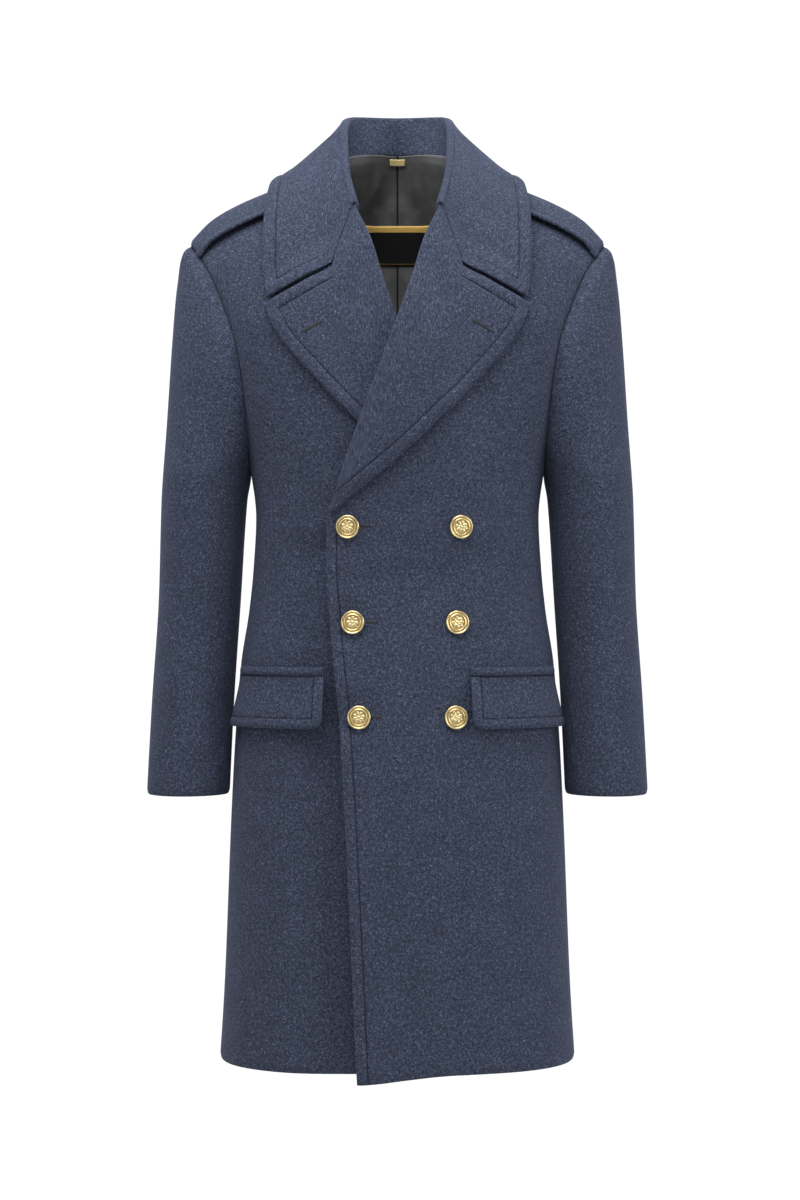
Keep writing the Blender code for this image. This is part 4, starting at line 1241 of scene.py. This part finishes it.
def pocket_grid(side, top, bottom, corner):
    """Face of a pocket piece laid on its front, with its lower inner corner rounded."""
    depth = partial(front_depth, side=side)
    rise = spread(top - bottom, FINE_GRID_STEP)[:, None]
    levels = bottom + rise
    ends = BODY.at(levels, "half_width") * math.sin(POCKET_OUTER_ANGLE)
    curves = [level_curve(z, POCKET_INNER, end, depth) for z, end in zip(levels[:, 0], ends[:, 0])]
    x = ruled(curves, FINE_GRID_STEP)[0][..., 0]
    near = np.clip(1 - (x - POCKET_INNER) / max(corner, LEAST_SIZE), 0, 1)
    z = levels + (1 - rise / rise[-1]) * corner * (1 - np.sqrt(1 - near**2))
    facing = outward(x, z, depth)
    return on_surface(x, z, depth) + facing * (LAID_GAP + TRIM_CLOTH), facing


def make_flap(side, place, wool):
    inset = STITCH_INSET["flap"]
    face, facing = pocket_grid(side, FLAP_TOP, FLAP_BOTTOM, FLAP_CORNER)
    distance = nearest(face, np.concatenate([face[0], face[:, 0]]))
    up, drop = lengths_along(face), FLAP_TOP - FLAP_BOTTOM
    hung = fade(up, FLAP_SIDE_HUNG * drop, drop)
    lift = hung * lifted(lengths_across(face), FLAP_SIDE_LIFT, FLAP_SIDE_REACH)
    face, facing = place(raised(face, facing, lift + lifted(up, FLAP_EDGE_LIFT, drop))), place(facing)
    front = cloth_piece(
        f"wool_pocket_flap_{side}", [f"pocket_flap_{side}"], wool, face, facing, TRIM_CLOTH,
        relief=stitched(distance, inset), stitch=distance - inset,
    )
    sew(distance, inset, front, facing, False, np.s_[:, CORNER_ROWS:])
    sew(distance, inset, front, facing, True, np.s_[CORNER_ROWS:, :CORNER_COLUMNS])


def make_welt(side, place, wool):
    face, facing = pocket_grid(side, WELT_TOP, WELT_BOTTOM, 0.0)
    up, _, inner, outer = edge_ways(face)
    ends = ease(np.minimum(inner, outer), 0.0, WELT_END)
    cloth_piece(
        f"wool_pocket_welt_{side}", [f"pocket_welt_{side}"], wool, place(face), place(facing), TRIM_CLOTH,
        relief=WELT_PUFF * ends * np.sqrt(np.sin(math.pi * up / up[-1:])),
    )


# Inside of the neck: lining, label and tab

LINING_END = -0.450
LINING_INSET = 0.0020
CREASES = Table("row start_x start_z end_x end_z width height", [
    (1, 0.014, 0.022, 0.032, -0.032, 0.005, 0.0030), (2, -0.016, 0.020, -0.036, -0.030, 0.005, 0.0034),
    (3, 0.038, 0.016, 0.054, -0.050, 0.007, 0.0034), (4, -0.040, 0.014, -0.052, -0.056, 0.007, 0.0032),
    (5, 0.006, -0.100, 0.030, -0.170, 0.009, 0.0016), (6, -0.010, -0.110, -0.028, -0.180, 0.009, 0.0018),
])
CREASE_ENDS = (0.02, 0.98)

# The top of the lining, where it is sewn up the collar's stand
LINING_TOP = Table("across height", [
    (0.000, 0.0320), (0.026, 0.0305), (0.051, 0.0264), (0.060, 0.0235), (0.068, 0.0150), (0.0755, 0.0050),
])
LINING_TOP_STEPS = 5
LINING_TOP_RISE = 0.0003
HALF_SEAM = 0.00015

LABEL_HALF_WIDTH = 0.042
TAB_HALF_WIDTH = 0.0095
TAB_TOP = 0.0290
TAB_BOTTOM = 0.0220
LABEL_COLUMNS = 42
LABEL_ROWS = 24
RIDGE_ROUND = 0.006


def creased(points):
    """How far the lining stands off the back along its soft creases."""
    flat = points[..., [0, 2]]
    height = np.zeros(points.shape[:2])
    for _, start_x, start_z, end_x, end_z, width, rise in CREASES.rows:
        start = np.array([start_x, start_z])
        run = np.array([end_x, end_z]) - start
        share = ((flat - start) @ run) / (run @ run)
        off = np.linalg.norm(flat - (start + np.clip(share, 0, 1)[..., None] * run), axis=-1)
        full = np.sqrt(np.sin(math.pi * np.clip(share, *CREASE_ENDS)))
        height += rise * np.exp(-((off / width) ** 2)) * full
    return height


def lining_top(row):
    """The edge of half the lining: on the collar's stand behind the neck, and by the shoulder seam."""
    along = np.linspace(0, NECK_POINT, FINE_STEPS)
    neck_x, neck_z = neck_points(along).T
    neck = on_surface(neck_x, neck_z, back_depth)
    lean = unit(collar_line(along, "roll") - neck)
    inward = unit(np.cross(np.gradient(neck, axis=0), lean))
    inward *= -np.sign(inward[:, 1:2])
    climb = np.clip((LINING_TOP.at(neck_x, "height") - neck_z) / lean[:, 2], 0.0, None)
    edge = neck + lean * climb[:, None] + inward * (COLLAR_CLOTH + LABEL_GAP + LINING_CLOTH)
    behind = row[:, 0] < neck_x[-1] - LINING_INSET
    sewn = np.stack([np.interp(row[:, 0], edge[:, 0], column) for column in edge.T], axis=-1)
    sewn[:, 0] = row[:, 0]
    return np.where(behind[:, None], sewn, row + LINING_TOP_RISE * np.array([0.0, 0.0, 1.0]))


def lining_grid():
    """Face of half the lining, and the way it faces: into the coat."""
    grid, facing = back_panel(), back_facing()
    keep = (grid[:, 0, 2] >= LINING_END) & (edge_ways(grid)[LAST_ROW][:, 0] >= LINING_INSET)
    face = (grid - facing * (WOOL + LAID_GAP + LINING_CLOTH))[keep, :-1]
    facing = facing[keep, :-1]
    shares = np.linspace(0, 1, LINING_TOP_STEPS + 1)[1:, None, None]
    face = np.concatenate([face, face[-1] + shares * (lining_top(face[-1]) - face[-1])])
    facing = np.concatenate([facing, np.repeat(facing[-1:], LINING_TOP_STEPS, axis=0)])
    face[..., 0] = np.maximum(face[..., 0], HALF_SEAM)
    return face, -facing


def make_lining_pieces(satin):
    face, facing = lining_grid()
    for side, place in SIDES:
        own = place(face)
        cloth_piece(
            f"satin_lining_{side}", [f"lining_{side}"], satin, own, place(facing), LINING_CLOTH,
            (0.0, 0.0, LINING_CLOTH / 2, 0.0), creased(own),
        )


def make_neck_piece(name, node, finish, half_width, bottom, top):
    """A flat piece laid on the lining, with the ridge of the centre seam rounded under it."""
    def depth(x, z):
        return back_depth(np.hypot(x, RIDGE_ROUND), z) - WOOL - LAID_GAP - LINING_CLOTH

    across = np.linspace(-half_width, half_width, LABEL_COLUMNS)
    x, z = np.meshgrid(across, np.linspace(bottom, top, LABEL_ROWS))
    inward = outward(x, z, depth)
    inward *= -np.sign(inward[..., 1:2])
    face = on_surface(x, z, depth) + inward * (LABEL_GAP + LABEL_CLOTH)
    cloth_piece(name, [node], finish, face, inward, LABEL_CLOTH)


# Stitches and buttonholes

STITCH_STEP = 0.0042
STITCH_LENGTH = 0.0030
STITCH_BEADS = 5
STITCH_TAPER = 0.45
THREAD_RADIUS = 0.00028
THREAD_SIDES = 6
THREAD_SINK = 0.35
STEEP = 0.9

# Worked buttonholes: start and end of each slit, seen from the front, those of the lapels first
BUTTONHOLES = Table("row start_x start_z end_x end_z", [
    (1, 0.0835, -0.1820, 0.1035, -0.1935), (2, -0.1035, -0.1935, -0.0835, -0.1820),
    (3, -0.0395, -0.4085, -0.0300, -0.4085), (4, -0.0335, -0.5145, -0.0240, -0.5145),
    (5, -0.0270, -0.6190, -0.0175, -0.6190),
])
LAPEL_BUTTONHOLES = 2
BUTTONHOLE_HALF_WIDTH = 0.0011
BUTTONHOLE_STEPS = 44
EDGING_RADIUS = 1.5 * THREAD_RADIUS
# Half width of the painted shadow inside each slit
SLIT_SHADOW_HALF_WIDTH = 0.0009
SLIT_STEPS = 12


def tube(points, radii):
    """Rings of points round a curve."""
    ahead = unit(np.gradient(points, axis=0))
    guide = np.where(np.abs(ahead[:, 2:]) > STEEP, np.array([[1.0, 0, 0]]), np.array([[0, 0, 1.0]]))
    side = unit(np.cross(ahead, guide))
    up = np.cross(side, ahead)
    angles = (np.arange(THREAD_SIDES) * 2 * math.pi / THREAD_SIDES)[None, :, None]
    ring = np.cos(angles) * side[:, None] + np.sin(angles) * up[:, None]
    return points[:, None] + ring * np.broadcast_to(radii, len(points))[:, None, None]


def tube_piece(name, tubes, finish, closed=False):
    """One piece from several tubes, each a list of rings."""
    points, faces = [], []
    for rings in tubes:
        count, sides = rings.shape[:2]
        first = len(points)
        points.extend(rings.reshape(-1, 3).tolist())
        for i in range(count if closed else count - 1):
            a, b = first + i * sides, first + (i + 1) % count * sides
            for j in range(sides):
                k = (j + 1) % sides
                faces.append((a + j, a + k, b + k, b + j))
        if not closed:
            faces.append(tuple(range(first + sides - 1, first - 1, -1)))
            faces.append(tuple(range(len(points) - sides, len(points))))
    data = bpy.data.meshes.new(name)
    data.from_pydata(points, [], faces)
    new_piece(name, data, finish)


def make_stitches(thread):
    arch = np.sin(np.linspace(0, math.pi, STITCH_BEADS))
    height = THREAD_RADIUS * (2 * arch - 1 - THREAD_SINK)
    radii = THREAD_RADIUS * (STITCH_TAPER + (1 - STITCH_TAPER) * arch)
    tubes = []
    for line, facing in threads:
        along = lengths_along(line)
        for i in range(int(along[-1] / STITCH_STEP)):
            places = i * STITCH_STEP + np.linspace(0, STITCH_LENGTH, STITCH_BEADS)
            out = facing[np.searchsorted(along, places.mean())]
            tubes.append(tube(placed_along(line, places) + out * height[:, None], radii))
    tube_piece("topstitching", tubes, thread)


def on_front(flat, side, on_lapel):
    """Points seen from the front, put on the face of a front or of its lapel."""
    depth = partial(front_depth, side=side)
    x = -flat[:, 0] if side == "right" else flat[:, 0]
    z = flat[:, 1]
    if on_lapel:
        grid_x, grid_z, lift = lapel_grid(side)[-1]
    else:
        face = front_panel(side)
        grid_x, grid_z, lift = face[..., 0], face[..., 2], front_lift(face)
    far = (grid_x.ravel()[None] - x[:, None]) ** 2 + (grid_z.ravel()[None] - z[:, None]) ** 2
    points = raised(on_surface(x, z, depth), outward(x, z, depth), lift.ravel()[far.argmin(axis=1)])
    return dict(SIDES)[side](points)


def make_buttonholes(edging, shadow):
    edges, slit_shadows = [], []
    for row, start_x, start_z, end_x, end_z in BUTTONHOLES.rows:
        on_lapel = row <= LAPEL_BUTTONHOLES
        side = "right" if on_lapel and start_x < 0 else "left"
        start = np.array([start_x, start_z])
        run = np.array([end_x, end_z]) - start
        ahead = unit(run)
        across = np.array([-ahead[1], ahead[0]])
        turn = np.linspace(0, 2 * math.pi, BUTTONHOLE_STEPS, endpoint=False)[:, None]
        flat = start + run * (np.cos(turn) > 0)
        flat = flat + BUTTONHOLE_HALF_WIDTH * (np.cos(turn) * ahead + np.sin(turn) * across)
        middle = start + np.linspace(0, 1, SLIT_STEPS)[:, None] * run
        edges.append(tube(on_front(flat, side, on_lapel), EDGING_RADIUS))
        # The slit is a near-black tube: painted shadow inside the cut
        slit_shadows.append(tube(on_front(middle, side, on_lapel), SLIT_SHADOW_HALF_WIDTH))
    tube_piece("buttonhole_edges", edges, edging, closed=True)
    tube_piece("buttonhole_slit_shadows", slit_shadows, shadow)


# Buttons: rings of the struck brass from the shank out, over the rim and in to the middle
BUTTON_RINGS = Table("step radius height", [
    (1, 0.0022, 0.0002), (2, 0.0022, 0.0016), (3, 0.0098, 0.0020), (4, 0.0122, 0.0027),
    (5, 0.0130, 0.0036), (6, 0.0129, 0.0045), (7, 0.0122, 0.0050), (8, 0.0115, 0.0048),
    (9, 0.0111, 0.0043), (10, 0.0096, 0.0044), (11, 0.0092, 0.0049), (12, 0.0086, 0.0050),
    (13, 0.0081, 0.0046), (14, 0.0076, 0.0043), (15, 0.0056, 0.0047), (16, 0.0036, 0.0049),
    (17, 0.0016, 0.0050),
])
BUTTON_SEGMENTS = 96
BACK_RING = 3
PETAL_RING = 15
HOLLOW_RINGS = (8, 9, 12, 13)
HOLLOW_REACH = 2e-4
HOLLOW_TONE = 0.6
PETALS = 8
PETAL_SIZE = (0.0054, 0.0027, 0.0016)
PETAL_PLACE = 0.0044
PETAL_SINK = 0.0002
BOSS_RADIUS = 0.0017
BOSS_FLATNESS = 0.5
BUTTON_TURNS = {"outer": 0, "inner": 9}
BUTTON_ROW_TURN = 20


def button_piece(name, brass):
    """A struck shank button about +Z: an eight-petalled rosette inside a ring and a rim."""
    rings = BUTTON_RINGS.rows[:, 1:]
    radius, height = rings[0]
    bpy.ops.mesh.primitive_circle_add(vertices=BUTTON_SEGMENTS, radius=radius, location=(0, 0, height))
    button = bpy.context.object
    bpy.ops.object.transform_apply()
    bpy.ops.object.mode_set(mode="EDIT")
    bpy.ops.mesh.select_all(action="SELECT")
    bpy.ops.mesh.edge_face_add()
    for before, after in zip(rings[:-1], rings[1:]):
        bpy.ops.mesh.extrude_region_move(TRANSFORM_OT_translate={"value": (0, 0, after[1] - before[1])})
        scale = after[0] / before[0]
        bpy.ops.transform.resize(value=(scale, scale, 1), center_override=(0, 0, after[1]))
    bpy.ops.object.mode_set(mode="OBJECT")
    parts = [button]
    for i in range(PETALS):
        turn = 2 * math.pi * i / PETALS
        height = rings[PETAL_RING, 1] - PETAL_SINK
        place = (PETAL_PLACE * math.cos(turn), PETAL_PLACE * math.sin(turn), height)
        bpy.ops.mesh.primitive_uv_sphere_add(
            segments=20, ring_count=12, radius=0.5, location=place, rotation=(0, 0, turn))
        parts.append(bpy.context.object)
        parts[-1].scale = PETAL_SIZE
    bpy.ops.mesh.primitive_uv_sphere_add(
        segments=24, ring_count=12, radius=BOSS_RADIUS, location=(0, 0, rings[-1, 1]))
    parts.append(bpy.context.object)
    parts[-1].scale = (1, 1, BOSS_FLATNESS)
    bpy.ops.object.select_all(action="DESELECT")
    for part in parts:
        part.select_set(True)
    bpy.context.view_layer.objects.active = button
    bpy.ops.object.transform_apply(location=True, rotation=True, scale=True)
    bpy.ops.object.join()
    bpy.ops.object.shade_smooth()
    button.name = name
    button.data.materials.append(brass)
    hollow = button.data.attributes.new("hollow", "FLOAT", "POINT")
    for vertex, mark in zip(button.data.vertices, hollow.data):
        reach = math.hypot(vertex.co.x, vertex.co.y)
        sunk = any(abs(reach - rings[i, 0]) < HOLLOW_REACH for i in HOLLOW_RINGS)
        mark.value = HOLLOW_TONE if sunk and vertex.co.z > rings[BACK_RING, 1] else 0.0
    return button


def make_buttons(brass):
    depth = partial(front_depth, side="left")
    first = button_piece("brass_button", brass)
    for row, height, *columns in BUTTONS.rows:
        for column, x in zip(BUTTON_TURNS, columns):
            button = first.copy()
            button.data = first.data.copy()
            button.name = f"brass_button_{column}_{int(row)}"
            bpy.context.scene.collection.objects.link(button)
            place = Matrix.Translation(Vector(on_surface(x, height, depth)))
            tilt = Vector(outward(x, height, depth)).to_track_quat("Z", "Y").to_matrix().to_4x4()
            turn = math.radians(BUTTON_ROW_TURN * row + BUTTON_TURNS[column])
            button.data.transform(place @ tilt @ Matrix.Rotation(turn, 4, "Z"))
            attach(button, BODY_NAME)
            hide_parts(f"button_{column}_{int(row)}")
    bpy.data.objects.remove(first)


# Camera, light and floor

CAMERA_PLACE = (0.003, -3.2, -0.490)
CAMERA_LENS = 83.48
CAMERA_SENSOR = 36
WHITE = 1.05
ROOM_LIGHT = 0.36
BACKDROP_FROM = math.cos(math.radians(26))
BACKDROP_FULL = math.cos(math.radians(17))

# The floor is matt paint in off-white, very faintly clouded
FLOOR_PLACE = (0, -0.5, -1.45)
FLOOR_RADIUS = 1.7
FLOOR_COLOURS = ((0.3, "#e6e6e4"), (0.7, "#ececea"))

# Each softbox: name, place, the point it is aimed at, size and watts
SOFTBOXES = (
    ("softbox_top", (-0.25, -0.75, 1.35), (0.0, 0.0, -0.35), 1.7, 56),
    ("softbox_left", (-2.3, -1.2, 0.2), (0.0, 0.0, -0.5), 1.5, 9),
    ("softbox_right", (2.3, -1.2, 0.2), (0.0, 0.0, -0.5), 1.5, 30),
    ("softbox_back", (0.4, 2.6, 1.1), (0.0, 0.0, -0.4), 1.6, 26),
)


def make_camera():
    camera = bpy.data.objects.new("camera", bpy.data.cameras.new("camera"))
    bpy.context.scene.collection.objects.link(camera)
    camera.location = CAMERA_PLACE
    camera.rotation_euler = (math.pi / 2, 0, 0)
    camera.data.lens = CAMERA_LENS
    camera.data.sensor_width = CAMERA_SENSOR
    bpy.context.scene.camera = camera


def make_room():
    """Even light from all round, brighter from behind the coat, and white where the camera sees it."""
    world = bpy.data.worlds.new("studio")
    bpy.context.scene.world = world
    world.use_nodes = True
    tree = world.node_tree
    add = partial(add_node, tree)
    behind = add("SeparateXYZ", {0: add("TexCoord", {}, "Generated")}, "Y")
    strength = add("MapRange", {
        "Value": behind, "From Min": BACKDROP_FROM, "From Max": BACKDROP_FULL,
        "To Min": ROOM_LIGHT, "To Max": WHITE,
    }, "Result")
    seen = add("Math", {0: add("LightPath", {}, "Is Camera Ray"), 1: WHITE}, 0, operation="MULTIPLY")
    strength = add("Math", {0: strength, 1: seen}, 0, operation="MAXIMUM")
    connect(tree, tree.nodes["Background"], {"Strength": strength, "Color": linear("#ffffff")})


def make_studio():
    """Softboxes above, beside and behind the coat, and a pale floor."""
    scene = bpy.context.scene
    scene.view_settings.view_transform = "Standard"
    make_room()
    for name, place, aim, size, power in SOFTBOXES:
        lamp = bpy.data.objects.new(name, bpy.data.lights.new(name, "AREA"))
        scene.collection.objects.link(lamp)
        lamp.location = place
        lamp.rotation_euler = (Vector(aim) - Vector(place)).to_track_quat("-Z", "Y").to_euler()
        lamp.data.size = size
        lamp.data.energy = power
        lamp.visible_camera = False
    bpy.ops.mesh.primitive_circle_add(
        vertices=128, radius=FLOOR_RADIUS, fill_type="NGON", location=FLOOR_PLACE)
    floor = bpy.context.object
    floor.name = "pale_floor"
    floor.data.materials.append(make_clouded("painted_floor", 3.0, 3.0, FLOOR_COLOURS, Roughness=0.75))


def main():
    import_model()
    wool = (make_wool(), "wool")
    thread = make_thread("topstitch_thread", "#262b3a", "#3d4459")
    edging = make_thread("buttonhole_thread", "#12151e", "#232838")
    # A near-black painted shadow for inside the buttonhole slits, on a thread material
    shadow = make_thread("buttonhole_shadow", "#050608", "#0a0c11")
    make_fronts(wool)
    make_backs(wool)
    make_sleeves(wool)
    make_lapels(wool)
    make_collar(wool)
    make_straps(wool)
    for side, place in SIDES:
        make_flap(side, place, wool)
        make_welt(side, place, wool)
    make_lining_pieces((make_lining(), "lining"))
    make_neck_piece("neck_label_ribbon", "neck_label", (make_label(), "label"),
                    LABEL_HALF_WIDTH, LABEL_BOTTOM, LABEL_TOP)
    make_neck_piece("neck_tab_tape", "neck_tab", (make_tab(), "tab"), TAB_HALF_WIDTH, TAB_BOTTOM, TAB_TOP)
    make_stitches(thread)
    make_buttonholes(edging, shadow)
    make_buttons(make_brass())
    make_camera()
    make_studio()


main()
